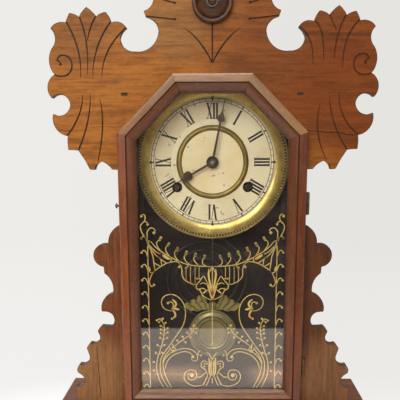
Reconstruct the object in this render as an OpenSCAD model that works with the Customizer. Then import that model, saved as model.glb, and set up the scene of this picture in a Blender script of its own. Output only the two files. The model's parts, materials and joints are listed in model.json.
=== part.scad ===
// Gingerbread kitchen clock: a scroll-sawn walnut case with a glazed door that has an octagon top,
// a round paper dial, an eight-day movement, a pendulum and a coiled wire gong.
// X runs to the viewer's right, Y runs to the back and Z runs up. The base stands on Z = 0.

/* [Base] */
// Width of the base
base_w = 385; // [370:1:410]
// Depth of the base, front to back
base_d = 134; // [128:1:150]
// Height of the base
base_h = 57; // [45:1:70]
// Thickness of the board on top of the base
base_top_t = 10; // [8:1:14]
// Thickness of the moulding round the base
base_moulding_t = 20; // [16:1:26]
// How far the moulding stands in from the edge of the top board
base_moulding_inset = 2; // [1:0.5:5]
// Thickness of the rail at the back of the base
base_rail_t = 12; // [8:1:16]
// How far the base reaches out in front of the case
base_reach = 28; // [22:1:32]

/* [Case] */
// Width of the case box outside
case_w = 216; // [212:1:224]
// Depth of the case box in front of the back board
case_d = 92; // [90:1:98]
// Height of the case box above the base
case_h = 399; // [396:1:410]
// Thickness of the side, top and bottom boards
board_t = 10; // [9:0.5:12]
// Thickness of the sawn crest board and wings
crest_t = 12; // [9:0.5:14]
// Thickness of the back board
back_t = 5; // [4:0.5:8]
// Depth of the carved strokes in the crest board
carve_depth = 1.2; // [0.8:0.1:2]
// Width of the carved strokes
carve_w = 1.8; // [1.2:0.1:2.6]

/* [Crest] */
// How far the middle of the octagon lies below the top of the case
octagon_drop = 114.5; // [112:0.5:118]
// Height of the middle of the rosette above the middle of the octagon
rosette_rise = 183.5; // [178:0.5:190]
// Radius of the turned rosette
rosette_r = 22.5; // [18:0.5:26]
// Thickness of the rosette
rosette_t = 14; // [10:0.5:16]
// How far the top of the wings lies below the middle of the octagon
wing_drop = 60.5; // [56.5:0.5:70]
// How far the foot of a wing ends inside the end of the base
wing_inset = 23; // [18:1:30]

/* [Door] */
// Width of the door frame members
door_bar_w = 21.5; // [19:0.5:24]
// Thickness of the door
door_t = 15; // [14:0.5:18]
// How much wider the door is than the case, on each side
door_lap = 0.5; // [0:0.5:1]
// Gap between the closed door and the case
door_gap = 0.5; // [0.4:0.1:1]
// Gap between the door and the base
door_foot_gap = 0.8; // [0.5:0.1:2]
// Thickness of the door glass
glass_t = 2; // [1.5:0.1:2.5]
// Width and depth of the rebate that the glass lies in
rebate_w = 5; // [4:0.5:6]
rebate_d = 4.5; // [4:0.1:5]
// How far the middle of the upper hinge lies below the middle of the octagon
upper_hinge_drop = 36; // [24:0.5:41]
// Height of the middle of the lower hinge above the base
lower_hinge_rise = 48; // [33:0.5:73]
// Length of a hinge knuckle row
hinge_l = 24; // [18:1:30]
// How far the door catch lies below the middle of the octagon
latch_drop = 37.5; // [33:0.5:44]

/* [Dial] */
// Height of the middle of the dial above the middle of the octagon
dial_rise = 10.5; // [8:0.5:12]
// Depth of the dial face behind the front of the case
dial_depth = 36; // [33:1:38]
// Radius of the dial pan
dial_r = 91.5; // [88:0.5:93]
// Radius of the paper that shows inside the bezel
paper_r = 76; // [72:0.5:78]
// Outer radius and inner radius of the brass ring on the paper
centre_ring_r = 43.4; // [40:0.2:46]
centre_ring_hole_r = 37.2; // [34:0.2:39]
// Length of the minute hand and of the hour hand from the middle
minute_hand_l = 72.5; // [66:0.5:74]
hour_hand_l = 48.5; // [44:0.5:52]
// Place of the winding holes beside and below the middle of the dial
winding_x = 42.8; // [42:0.1:46]
winding_drop = 29.5; // [28:0.5:33]

/* [Movement] */
// Thickness of the brass plates
plate_t = 1.3; // [1:0.1:2]
// Space between the plates
plate_space = 27.7; // [27:0.1:30]
// Radius of a mainspring wound in its coil
mainspring_r = 24; // [20:0.5:25]
// Teeth of the minute pinion, minute wheel, hour pinion and hour wheel
minute_pinion_n = 12; // [12]
minute_wheel_n = 36; // [36]
hour_pinion_n = 10; // [10]
hour_wheel_n = 40; // [40]
// Distance from the hand arbor to the stud of the minute wheel
motion_reach = 18; // [17:0.5:19]
// Teeth of the escape wheel
escape_n = 30; // [30]
// Radius of the escape wheel
escape_r = 14; // [13:0.2:14.4]

/* [Pendulum and gong] */
// Height of the pendulum's pivot above the middle of the dial
pivot_rise = 50; // [49:0.5:52]
// Height of the middle of the bob above the base
bob_rise = 79.5; // [75:0.5:90]
// Radius of the bob
bob_r = 31; // [28:0.5:33]
// Thickness of the bob
bob_t = 8; // [7:0.5:9]
// Outer radius of the gong coil
gong_r = 55; // [50:1:58]
// How far the middle of the gong lies below the middle of the dial
gong_drop = 148; // [144:1:156]
// Turns of the gong coil
gong_turns = 4.5; // [3.5:0.5:5.5]
// Radius of the gong wire
gong_wire_r = 1.4; // [1:0.1:1.8]

/* [Hidden] */
$fn = 48;
// Degrees of arc that one flat of a sawn curve covers
arc_step = 10;
// Running clearance of a shaft in its hole
run = 0.06;
// Clearance between loose neighbours
loose = 0.3;

case_side = case_w / 2;
case_in = case_side - board_t;
front_y = base_reach - base_d / 2;
crest_back = front_y + crest_t;
back_y = front_y + case_d;
case_top = base_h + case_h;
octagon_z = case_top - octagon_drop;
rosette_z = octagon_z + rosette_rise;
half_corner = tan(22.5);

door_side = case_side + door_lap;
door_in = door_side - door_bar_w;
door_back = front_y - door_gap;
door_bottom = base_h + door_foot_gap;
glass_lap = rebate_w - 1;
glass_front = door_back - rebate_d;
upper_hinge_z = octagon_z - upper_hinge_drop;
lower_hinge_z = base_h + lower_hinge_rise;
latch_z = octagon_z - latch_drop;

dial_z = octagon_z + dial_rise;
dial_y = front_y + dial_depth;
pan_t = 1;
bezel_h = 8.5;
sheet_t = 0.8;
winding_z = dial_z - winding_drop;
grommet_r = 6.2;
grommet_hole_r = 4.6;

dial_to_plates = 19;
plates_y = dial_y + pan_t + dial_to_plates;
plate_back_y = plates_y + plate_t + plate_space;
plate_half_w = 68;
plate_low = 63;
plate_high = 63;
pillar_inset = 7;
pillar_x = plate_half_w - pillar_inset;
pillar_low = plate_low - pillar_inset;
pillar_high = plate_high - pillar_inset;
pillar_r = 3.5;
tenon_r = 2;
movement_screw_r = 1.8;

arbor_r = 1.5;
cannon_r = 2.3;
hour_pipe_r = 3.3;
hour_hand_y = dial_y - 6;
minute_hand_y = dial_y - 9;
hand_t = 0.9;
wheel_t = 1.5;
minute_wheel_y = plates_y - 3;
hour_wheel_y = minute_wheel_y - 2.5;
motion_angle = -60;
stud_r = 1.5;
module_1 = 2 * motion_reach / (minute_pinion_n + minute_wheel_n);
module_2 = 2 * motion_reach / (hour_pinion_n + hour_wheel_n);

pivot_z = dial_z + pivot_rise;
rod_y = plates_y - 8.5;
rod_r = 0.7;
loop_r = 8.5;
loop_wire_r = 0.8;
bob_z = base_h + bob_rise;
escape_z = pivot_z - escape_r * sqrt(2);
escape_y = plates_y - 2.5;
verge_stud_r = 1.2;
verge_y = plates_y - 1.5;
verge_t = 3;
pallet_gap = 0.35;
crutch_z = escape_z - 4;

gong_x = -10;
gong_z = dial_z - gong_drop;
gong_wall = 12;
gong_y = back_y - gong_wall;
gong_post_r = 8;
hammer_inset = 43;
hammer_x = plate_half_w - hammer_inset;
hammer_drop = 52;
hammer_z = dial_z - hammer_drop;
hammer_y = plate_back_y - 2;
hammer_head_r = 5;
hammer_angle = 30;
hammer_gap = 1.5;

hinge_x = case_side + 3.4;
hinge_y = front_y - door_gap / 2;
knuckle_r = 2.3;
hinge_pin_r = 1.1;
hinge_pin_head_t = 1.2;
leaf_t = 1.1;
leaf_gap = 0.05;
hinge_screw_r = 0.8;
hinge_screw_head_r = 1.7;
hinge_screw_l = 9;

latch_pivot_y = front_y + 20;
latch_pin_y = door_back - door_t / 2;
latch_reach = latch_pivot_y - latch_pin_y;
latch_t = 1.1;
latch_out = 0.9;
latch_shank_r = 1.25;

nail_l = 22;
nail_head = [6, 2.5];
nail_inset = 8;
nail_rise = 87;
back_nail_pitch = 140;

walnut = "#8a5226";
walnut_dark = "#6b3c20";
brass = "#a89048";
steel = "#6a6a6a";
blued = "#2b2622";
paper = "#e2cf9f";
iron = "#3a3634";

// Drawing in the plane of the front, made a board that starts at depth y0 and is t thick
module upright(y0, t) translate([0, y0 + t, 0]) rotate([90, 0, 0]) linear_extrude(t) children();
// Drawing in the plane of the side, made a plate that starts at x0 and is t thick
module sideways(x0, t) translate([x0, 0, 0]) rotate([90, 0, 90]) linear_extrude(t) children();
// Turned work that stands on depth y and rises towards the viewer
module facing(x, y, z) translate([x, y, z]) rotate([90, 0, 0]) children();
// Turned work that starts at depth y and runs towards the back
module backing(x, y, z) translate([x, y, z]) rotate([-90, 0, 0]) children();
// Turned work that starts at x and runs to the viewer's right
module rightward(x, y, z) translate([x, y, z]) rotate([0, 90, 0]) children();

// Points after p of an arc to q, which bulges to the left by b times half the chord
function arc(p, q, b) =
    abs(b) < 0.01 ? [q] :
    let (d = q - p, sweep = 4 * atan(b), c = (p + q) / 2 - [-d.y, d.x] * (1 - b * b) / (4 * b), r = p - c)
    let (n = max(2, ceil(abs(sweep) / arc_step)))
    [for (i = [1:n]) let (a = -sweep * i / n) c + [r.x * cos(a) - r.y * sin(a), r.x * sin(a) + r.y * cos(a)]];
function flat_point(s) = [s[0], s[1]];
// Outline through corners [x, y] or [x, y, bulge of the arc that arrives there]
function outline(steps) =
    [for (i = [0:len(steps) - 1])
        each (i == 0 ? [flat_point(steps[0])]
            : arc(flat_point(steps[i - 1]), flat_point(steps[i]), len(steps[i]) > 2 ? steps[i][2] : 0))];
function mirrored(points) = [for (i = [len(points) - 1:-1:0]) [-points[i].x, points[i].y]];
function shifted(steps, by) =
    [for (s = steps) len(s) > 2 ? [s[0] + by.x, s[1] + by.y, s[2]] : flat_point(s) + by];
function bezier(p, q, r, n = 10) =
    [for (i = [0:n]) let (t = i / n) p * (1 - t) * (1 - t) + q * 2 * t * (1 - t) + r * t * t];
// Band along a line of points, w0 wide at the start, w in the middle and w1 at the end
function half_width(t, w0, w, w1) =
    ((1 - t) * (1 - t) * w0 + 2 * t * (1 - t) * (2 * w - (w0 + w1) / 2) + t * t * w1) / 2;
function side_normal(p, i) =
    let (d = p[min(i + 1, len(p) - 1)] - p[max(i - 1, 0)]) [-d.y, d.x] / norm(d);
function band(p, w0, w, w1) =
    let (n = len(p) - 1)
    concat([for (i = [0:n]) p[i] + side_normal(p, i) * half_width(i / n, w0, w, w1)],
        [for (i = [n:-1:0]) p[i] - side_normal(p, i) * half_width(i / n, w0, w, w1)]);

// Involute gear outline with stub teeth, the first tooth's middle at angle 0
pressure_angle = 20;
backlash = 0.16;
function involute(base_r, r) = let (a = acos(min(1, base_r / r))) tan(a) * 180 / PI - a;
function tooth_half_angle(n, m, r) =
    let (pitch_r = n * m / 2, base_r = pitch_r * cos(pressure_angle))
    90 / n - backlash / 2 / pitch_r * 180 / PI + involute(base_r, pitch_r) - involute(base_r, max(r, base_r));
function gear_outline(n, m, phase = 0, add = 0.8, ded = 1.05) =
    let (pitch_r = n * m / 2, tip = pitch_r + add * m, root = pitch_r - ded * m)
    let (foot = max(root + 0.05 * m, pitch_r * cos(pressure_angle)))
    let (radii = [foot, (foot + pitch_r) / 2, pitch_r, (pitch_r + tip) / 2, tip])
    [for (k = [0:n - 1]) let (mid = phase + 360 * k / n)
        each concat([[root, mid - tooth_half_angle(n, m, foot)]],
            [for (r = radii) [r, mid - tooth_half_angle(n, m, r)]],
            [for (i = [4:-1:0]) [radii[i], mid + tooth_half_angle(n, m, radii[i])]],
            [[root, mid + tooth_half_angle(n, m, foot)]])];
function polar(points) = [for (p = points) p[0] * [cos(p[1]), sin(p[1])]];
module gear(n, m, phase, t) linear_extrude(t) polygon(polar(gear_outline(n, m, phase)));

// Crest board

// Right half of the sawn edge above the rosette, from the middle of the rosette
crest_fan = [[0, 57], [13, 44, 0.12], [30, 50, 0.15], [36, 37, 0.1], [53, 39.5, 0.15], [57, 27, 0.08],
    [74, 18.2, 0.4], [76.2, -8.2, -0.75], [74.2, -14], [60, -29, -0.34]];
// The same edge round the right ear, from the side of the case and the middle of the octagon
crest_ear = [[-21.5, 133, -0.44], [-4.4, 147, -0.41], [-12.2, 158, -0.2], [4.9, 163.3, 0.4],
    [10.3, 174.6, 0.12], [21.1, 170, 0.18], [31.8, 180, 0.1], [40.3, 169.8, 0.12], [51.1, 173.8, 0.15],
    [55.6, 164, 0.05], [73, 157.8, 0.33], [72.2, 137.3, -0.43], [70.9, 108.8, 0.33], [74.7, 82.9, 0.5],
    [54.3, 76, -0.7], [74.6, 66, -0.55], [58.8, 41.3, 0.45], [58.8, 25.7, 0.07], [47, 25, -0.05],
    [34.5, 3.5, -0.05], [28.6, 3], [20.6, 12.7, -0.3], [8.5, 3.4, -0.16], [-board_t, 2.6]];
crest_edge = outline(concat(shifted(crest_fan, [0, rosette_z]), shifted(crest_ear, [case_side, octagon_z])));
crest_opening = [[case_in, octagon_z + case_in * half_corner], [case_in * half_corner, octagon_z + case_in]];

// Strokes as start, control point and end, with the widths there; the ear's from the side of the case
left_ear_strokes = [
    [[54.5, 164.5], [37.5, 134.5], [41, 105.5], [1, 1, 0.3]],
    [[40.3, 170.5], [29.5, 147.5], [33, 108.5], [1, 1, 0.3]],
    [[21.1, 170.5], [29, 158.5], [31.6, 145], [1, 0.9, 0.7]],
    [[4.8, 164.5], [25, 140.5], [27.2, 107.5], [1, 1, 0.3]],
    [[-12, 158.2], [15.5, 135.5], [17, 105.5], [1, 1, 0.3]],
    [[39.5, 86.5], [40, 64.5], [59.5, 41.3], [0.3, 1, 1]],
    [[30.8, 87.5], [30.8, 58.5], [47.2, 24.5], [0.3, 1, 1]],
    [[20.2, 82.5], [13.5, 56.5], [24.8, 12.5], [0.3, 1, 0.5]]];
// The right ear was cut by eye and its strokes stand steeper
right_ear_strokes = [
    [[54.5, 164.5], [36.2, 147.7], [38, 114], [1, 1, 0.3]],
    [[40.3, 170.5], [29, 152.7], [28, 122], [1, 1, 0.3]],
    [[21.1, 170.5], [25.5, 161.5], [29.4, 154.5], [1, 0.9, 0.7]],
    [[4.8, 164.5], [16, 157.7], [16.5, 122], [1, 1, 0.3]],
    [[-12, 158.2], [5.5, 147], [4.3, 118.5], [1, 1, 0.3]],
    [[35.2, 89], [34.6, 58.8], [59.5, 41.3], [0.3, 1, 1]],
    [[24.6, 84], [26.1, 53.7], [47.2, 24.5], [0.3, 1, 1]],
    [[14, 76], [6.6, 43.5], [24, 13], [0.3, 1, 0.5]]];
// The curl in the ear, from its eye outwards to the sawn edge
ear_curl = outline([[62.5, 119], [66.8, 124, 0.3], [59, 129.3, -0.4], [50.3, 118.3, -0.42], [61.3, 107, -0.42],
    [73.5, 110.3, -0.2]]);
ear_eye = [63, 119.5];
// Strokes round the rosette, from its middle
fan_strokes = [
    [[75, -13.8], [58, -15.5], [41.5, -17.2], [0.9, 0.9, 0.8]],
    [[66, 6.2], [54, 3], [41.6, -0.3], [0.9, 0.9, 0.8]],
    [[57.5, 27.5], [48, 19], [38.5, 12], [0.9, 0.9, 0.8]],
    [[36.3, 37.8], [31, 30], [26, 22.5], [0.9, 0.9, 0.8]],
    [[13.1, 44.8], [11, 37], [9.2, 29], [0.9, 0.9, 0.8]],
    [[31, -26.5], [14, -37], [1.2, -61], [0.2, 1, 0.9]]];
stem_drop = 61.5;
dot_r = 1.5;

module stroke(s) {
    w = carve_w * s[3];
    polygon(band(bezier(s[0], s[1], s[2]), w[0], w[1], w[2]));
}
module ear_carving(strokes) {
    translate([case_side, octagon_z]) {
        for (s = strokes) stroke(s);
        polygon(band(ear_curl, carve_w * 0.8, carve_w, carve_w));
        translate(ear_eye) circle(dot_r);
    }
}
module fan_carving() {
    translate([0, rosette_z]) {
        for (s = fan_strokes) stroke(s);
        for (s = fan_strokes) if (s[2].y > -20) translate(s[2]) circle(dot_r);
    }
}
module crest_carving() {
    ear_carving(right_ear_strokes);
    mirror([1, 0]) ear_carving(left_ear_strokes);
    for (side = [0, 1]) mirror([side, 0]) fan_carving();
    translate([-carve_w / 2, rosette_z - stem_drop]) square([carve_w, stem_drop - rosette_r + 3]);
    translate([0, rosette_z - stem_drop]) circle(dot_r + 0.5);
}
module nail_holes() {
    for (side = [-1, 1])
        translate([side * (case_side - nail_inset) - nail_head.x / 2, octagon_z + nail_rise - nail_head.y / 2])
            square(nail_head);
}
module crest_board() {
    color(walnut) difference() {
        upright(front_y, crest_t) polygon(concat(crest_edge, crest_opening, mirrored(crest_opening),
            mirrored([for (i = [1:len(crest_edge) - 1]) crest_edge[i]])));
        upright(front_y - 1, 1 + carve_depth) crest_carving();
        upright(front_y - 1, crest_t + 2) nail_holes();
    }
}
module crest_rosette() {
    r = rosette_r;
    t = rosette_t;
    color(walnut_dark) facing(0, front_y, rosette_z) rotate_extrude(convexity = 4)
        polygon(outline([[0, 0], [r, 0], [r, t * 0.4], [r - 2.5, t * 0.58, -0.4], [r - 5, t * 0.42, -0.4],
            [r - 5.2, t * 0.3], [r - 14.6, t * 0.7], [r - 15, t * 0.6], [r - 15.6, t * 0.6],
            [r - 16, t * 0.82], [5.2, t * 0.82], [5, t * 0.76], [4.6, t * 0.76], [0, t, -0.35]]));
}

// Wings

wing_w = base_w / 2 - case_side - wing_inset;
wing_h = octagon_z - wing_drop - base_h;
// Sawn edge of the right wing as it is drawn, from the side of the case and the top of the base
wing_edge = outline([[0, 0], [0, 224], [16.1, 200.5, 0.36], [22.6, 173.5, 1.09], [22, 165.8],
    [12.4, 141.6, -0.31], [26.8, 118.6, 0.4], [19.5, 118, -0.05], [15.5, 99.8, -0.62], [27.3, 100.6, -0.03],
    [32.7, 93.9, 0.1], [30.4, 88.5], [38, 78, -0.5], [42, 79], [47.1, 72.2, 0.1], [44.6, 64.5],
    [52.5, 51, -0.51], [56.6, 51.6], [60.4, 44.6, 0.1], [59.4, 40.5], [51.3, 33, -0.18], [61.5, 23, -0.6],
    [61.5, 0]]);
wing_drawn = [wing_edge[len(wing_edge) - 1].x, wing_edge[1].y];
module wing()
    upright(front_y, crest_t) translate([case_side, base_h])
        polygon([for (p = wing_edge) [p.x * wing_w / wing_drawn.x, p.y * wing_h / wing_drawn.y]]);
module left_wing() color(walnut) mirror([1, 0, 0]) wing();
module right_wing() {
    color(walnut_dark) difference() {
        wing();
        knuckle_notch(lower_hinge_z);
    }
}
// Room for the lower hinge's knuckles in the wing's front corner
module knuckle_notch(z) {
    room = knuckle_r + 0.4;
    half_l = hinge_l / 2 + hinge_pin_head_t + loose;
    translate([case_side - 1, front_y - 1, z - half_l])
        cube([hinge_x + room - case_side + 1, hinge_y + room - front_y + 1, 2 * half_l]);
}

// Case boards

module side_outline() {
    step_z = crest_edge[len(crest_edge) - 1].y;
    polygon([[front_y, base_h], [back_y, base_h], [back_y, case_top], [crest_back, case_top],
        [crest_back, step_z], [front_y, step_z]]);
}
module left_side_board() {
    color(walnut_dark) difference() {
        sideways(-case_side, board_t) side_outline();
        rightward(-case_side - 1, latch_pivot_y, latch_z) cylinder(h = board_t - 1, r = latch_shank_r);
        front_nails();
        back_nails();
    }
}
module right_side_board() {
    color(walnut_dark) difference() {
        sideways(case_in, board_t) side_outline();
        for (z = [upper_hinge_z, lower_hinge_z]) {
            translate([case_in - 1, front_y - 1, z - hinge_l / 2])
                cube([board_t + 2, 1 + leaf_seat(), hinge_l]);
            case_screws_at(z);
        }
        front_nails();
        back_nails();
    }
}
module case_top_board() {
    color(walnut_dark) translate([-case_in, crest_back, case_top - board_t])
        cube([2 * case_in, back_y - crest_back, board_t]);
}
module case_bottom_board() {
    color(walnut_dark) translate([-case_in, front_y, base_h]) cube([2 * case_in, case_d, board_t]);
}
module back_board() {
    color(walnut_dark) difference() {
        translate([-case_side, back_y, base_h]) cube([case_w, back_t, case_h]);
        for (p = screw_places)
            backing(p.x, back_y - 1, p.y) cylinder(h = back_t + 2, r = movement_screw_r + run);
        back_nails();
    }
}
// Cut nails: two through the crest board and six through the back board
back_nail_z = [for (k = [-1:1]) base_h + case_h / 2 + k * back_nail_pitch];
module nail() {
    rotate([90, 0, 0]) {
        translate([-nail_head.x / 2, -nail_head.y / 2, -3]) cube([nail_head.x, nail_head.y, 2.2]);
        translate([-1.5, -0.8, -nail_l]) cube([3, 1.6, nail_l - 2]);
    }
}
module front_nails() {
    for (side = [-1, 1]) translate([side * (case_side - nail_inset), front_y, octagon_z + nail_rise]) nail();
}
module back_nails() {
    for (side = [-1, 1], z = back_nail_z)
        translate([side * (case_side - board_t / 2), back_y + back_t + 0.8, z]) rotate([0, 0, 180]) nail();
}
module case_nails() {
    color(iron) {
        front_nails();
        back_nails();
    }
}

// Base

// Profile of the base moulding: distance in from its outer face, and height
base_under = base_h - base_top_t;
base_profile = outline([[0, 0], [0, 13], [2, 15], [5, 27, 0.3], [9, 40, -0.3], [9, base_under],
    [base_moulding_t, base_under], [base_moulding_t, 0]]);
base_out_x = base_w / 2 - base_moulding_inset;
base_out_y = base_d / 2 - base_moulding_inset;
module base_top_board() {
    lip = 1.5;
    color(walnut) intersection() {
        sideways(-base_w / 2, base_w) polygon([[-base_d / 2, base_under + 3], [-base_d / 2 + 3, base_under],
            [base_d / 2, base_under], [base_d / 2, base_h], [-base_d / 2 + lip, base_h],
            [-base_d / 2, base_h - lip]]);
        upright(-base_d / 2, base_d) polygon([[-base_w / 2, base_under + 3], [-base_w / 2 + 3, base_under],
            [base_w / 2 - 3, base_under], [base_w / 2, base_under + 3], [base_w / 2, base_h - lip],
            [base_w / 2 - lip, base_h], [-base_w / 2 + lip, base_h], [-base_w / 2, base_h - lip]]);
    }
}
// Plan of the mitred front moulding
module front_mitre() {
    k = base_moulding_t + 1;
    linear_extrude(base_under) polygon([[-base_out_x, -base_out_y], [base_out_x, -base_out_y],
        [base_out_x - k, k - base_out_y], [k - base_out_x, k - base_out_y]]);
}
module base_front_moulding() {
    color(walnut_dark) intersection() {
        sideways(-base_out_x, 2 * base_out_x) polygon([for (p = base_profile) [p.x - base_out_y, p.y]]);
        front_mitre();
    }
}
module side_moulding() {
    k = base_moulding_t + 1;
    intersection() {
        upright(-base_out_y, 2 * base_out_y) polygon([for (p = base_profile) [base_out_x - p.x, p.y]]);
        linear_extrude(base_under) polygon([[base_out_x, -base_out_y], [base_out_x, base_out_y],
            [base_out_x - k, base_out_y], [base_out_x - k, k - base_out_y]]);
    }
}
module base_left_moulding() color(walnut_dark) mirror([1, 0, 0]) side_moulding();
module base_right_moulding() color(walnut_dark) side_moulding();
module base_back_rail() {
    half = base_out_x - base_moulding_t;
    color(walnut_dark) translate([-half, base_out_y - base_rail_t, 0])
        cube([2 * half, base_rail_t, base_under]);
}

// Door

// Profile of a door bar: distance out from its inner edge, and height in front of its back face
door_profile = outline([[rebate_w, 0], [door_bar_w, 0], [door_bar_w, door_t - 3],
    [door_bar_w - 3, door_t, -0.41], [12.1, door_t], [11.7, door_t - 1.9], [10.8, door_t - 1.9],
    [10.4, door_t - 0.5], [0, door_t - 8.6, -0.2], [0, rebate_d], [rebate_w, rebate_d]]);
strip_profile = [[loose, 0.1], [rebate_w - 0.1, 0.1], [rebate_w - 0.1, rebate_d - glass_t],
    [loose, rebate_d - glass_t]];
far = case_h;
// One bar of a frame, turned about the middle of the octagon, before its ends are cut
module bar(profile, turn) {
    translate([0, door_back, octagon_z]) rotate([0, -turn, 0]) translate([door_in, 0, 0])
        mirror([0, 1, 0]) linear_extrude(2 * far, center = true) polygon(profile);
}
// Everything between two mitres that meet in the middle of the octagon
module mitre_wedge(turn, slack = 0) {
    a = turn - 22.5 + slack;
    b = turn + 22.5 - slack;
    upright(door_back - door_t, door_t) translate([0, octagon_z])
        polygon([[0, 0], far * [cos(a), sin(a)], far * [cos(b), sin(b)]]);
}
// Everything on the right between the upper mitre and the mitre in the bottom corner
module stile_wedge(slack = 0) {
    a = 22.5 - slack;
    upright(door_back - door_t, door_t) polygon([[0, octagon_z], [far * cos(a), octagon_z + far * sin(a)],
        [far, door_bottom + door_side - far + slack], [0, door_bottom + door_side + slack]]);
}
module rail_wedge(slack = 0) {
    upright(door_back - door_t, door_t) polygon([[0, door_bottom + door_side - slack],
        [far, door_bottom + door_side - far - slack], [-far, door_bottom + door_side - far - slack]]);
}
module right_stile_bar(profile, slack = 0) {
    intersection() {
        bar(profile, 0);
        stile_wedge(slack);
    }
}
module bottom_bar(profile, slack = 0) {
    intersection() {
        translate([0, door_back, door_bottom + door_side]) rotate([0, 90, 0]) translate([door_in, 0, 0])
            mirror([0, 1, 0]) linear_extrude(2 * far, center = true) polygon(profile);
        rail_wedge(slack);
    }
}
module octagon_bar(profile, turn, slack = 0) {
    intersection() {
        bar(profile, turn);
        mitre_wedge(turn, slack);
    }
}
module door_left_stile() {
    color(walnut) difference() {
        mirror([1, 0, 0]) right_stile_bar(door_profile);
        rightward(-door_side - 1, latch_pin_y, latch_z) cylinder(h = 7, r = latch_shank_r);
    }
}
module door_right_stile() {
    color(walnut) difference() {
        right_stile_bar(door_profile);
        for (z = [upper_hinge_z, lower_hinge_z]) {
            translate([hinge_x - leaf_w() - 0.1, hinge_y - leaf_gap - leaf_t - 0.1, z - hinge_l / 2 - 0.1])
                cube([leaf_w(), leaf_t + 2, hinge_l + 0.2]);
            door_screws_at(z);
        }
    }
}
module door_bottom_rail() color(walnut) bottom_bar(door_profile);
module door_top_rail() color(walnut) octagon_bar(door_profile, 90);
module door_left_diagonal() color(walnut) octagon_bar(door_profile, 135);
module door_right_diagonal() color(walnut) octagon_bar(door_profile, 45);
module door_glass() {
    half = door_in + glass_lap;
    edge = half * half_corner;
    color("LightGray", 0.35) upright(glass_front, glass_t)
        polygon([[-half, door_bottom + door_side - half], [half, door_bottom + door_side - half],
            [half, octagon_z + edge], [edge, octagon_z + half], [-edge, octagon_z + half],
            [-half, octagon_z + edge]]);
}
module glazing_strips() {
    color(walnut_dark) {
        for (side = [0, 1]) mirror([side, 0, 0]) right_stile_bar(strip_profile, 0.2);
        for (turn = [45, 90, 135]) octagon_bar(strip_profile, turn, 0.2);
        bottom_bar(strip_profile, 0.2);
    }
}

// Hinges

function leaf_w() = hinge_x - case_in - 0.4;
function leaf_seat() = hinge_y + leaf_gap + leaf_t - front_y;
knuckle_l = hinge_l / 3;
hinge_screw_places = [-hinge_l / 3, hinge_l / 3];
hinge_screw_x = case_side - board_t / 2;
// Countersunk screw, its head's top at 0, running along +Z
module countersunk_screw(grow = 0) {
    rotate_extrude() polygon([[0, 0], [hinge_screw_head_r + grow, 0], [hinge_screw_r + grow, leaf_t],
        [hinge_screw_r + grow, hinge_screw_l], [0, hinge_screw_l + 1]]);
}
module case_screws_at(z, grow = 0) {
    for (dz = hinge_screw_places) backing(hinge_screw_x, hinge_y + leaf_gap, z + dz) countersunk_screw(grow);
}
module door_screws_at(z, grow = 0) {
    for (dz = hinge_screw_places) facing(hinge_screw_x, hinge_y - leaf_gap, z + dz) countersunk_screw(grow);
}
// One leaf with its knuckles; side is 1 for the case's leaf and -1 for the door's
module leaf(z, side, knuckles) {
    face = side > 0 ? hinge_y + leaf_gap : hinge_y - leaf_gap - leaf_t;
    root_x = hinge_x - knuckle_r - loose;
    difference() {
        union() {
            translate([hinge_x - leaf_w(), face, z - hinge_l / 2])
                cube([root_x - hinge_x + leaf_w(), leaf_t, hinge_l]);
            for (k = knuckles) {
                translate([root_x - 1, face, z + k * knuckle_l + loose / 4])
                    cube([hinge_x - root_x + 1, leaf_t, knuckle_l - loose / 2]);
                translate([hinge_x, hinge_y, z + k * knuckle_l + loose / 4])
                    cylinder(h = knuckle_l - loose / 2, r = knuckle_r);
            }
        }
        translate([hinge_x, hinge_y, z - hinge_l]) cylinder(h = 2 * hinge_l, r = hinge_pin_r + run);
        if (side > 0) case_screws_at(z);
        else door_screws_at(z);
    }
}
module hinge_case_leaves() color(brass) for (z = [upper_hinge_z, lower_hinge_z]) leaf(z, 1, [-1.5, 0.5]);
module hinge_door_leaves() color(brass) for (z = [upper_hinge_z, lower_hinge_z]) leaf(z, -1, [-0.5]);
module hinge_pins() {
    color(brass) for (z = [upper_hinge_z, lower_hinge_z]) translate([hinge_x, hinge_y, z - hinge_l / 2]) {
        cylinder(h = hinge_l, r = hinge_pin_r);
        for (end = [-hinge_pin_head_t, hinge_l]) translate([0, 0, end])
            cylinder(h = hinge_pin_head_t, r = knuckle_r - 0.5);
    }
}
module case_hinge_screws() color(brass) for (z = [upper_hinge_z, lower_hinge_z]) case_screws_at(z);
module door_hinge_screws() color(brass) for (z = [upper_hinge_z, lower_hinge_z]) door_screws_at(z);

// Door catch: a hook that hangs on the side of the case and drops over a pin on the door

module latch_pin() {
    head = latch_out + latch_t + 0.5;
    color(brass) rightward(-door_side, latch_pin_y, latch_z) {
        translate([0, 0, -head]) cylinder(h = head + 6, r = latch_shank_r);
        rotate([180, 0, 0]) translate([0, 0, head])
            rotate_extrude() polygon(outline([[0, 0], [3.2, 0], [3.2, 0.6], [0, 2.2, -0.3]]));
    }
}
module latch_screw() {
    head = latch_out + latch_t + 0.3;
    color(brass) rightward(-case_side, latch_pivot_y, latch_z) {
        translate([0, 0, -head]) cylinder(h = head + board_t - 2, r = latch_shank_r);
        translate([0, 0, -latch_out + 0.2]) cylinder(h = latch_out - 0.2, r = 2.4);
        rotate([180, 0, 0]) translate([0, 0, head])
            rotate_extrude() polygon(outline([[0, 0], [3, 0], [3, 0.6], [0, 2, -0.3]]));
    }
}
module latch_hook() {
    slot = latch_shank_r + 0.4;
    color(brass) sideways(-case_side - latch_out - latch_t, latch_t) translate([latch_pivot_y, latch_z])
        difference() {
            union() {
                circle(4);
                translate([-2.5, -latch_reach]) square([5, latch_reach]);
                translate([0, -latch_reach]) circle(5.2);
            }
            circle(latch_shank_r + run);
            translate([-slot, -latch_reach - slot]) square([slot + 10, 2 * slot]);
        }
}

// Dial

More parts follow.
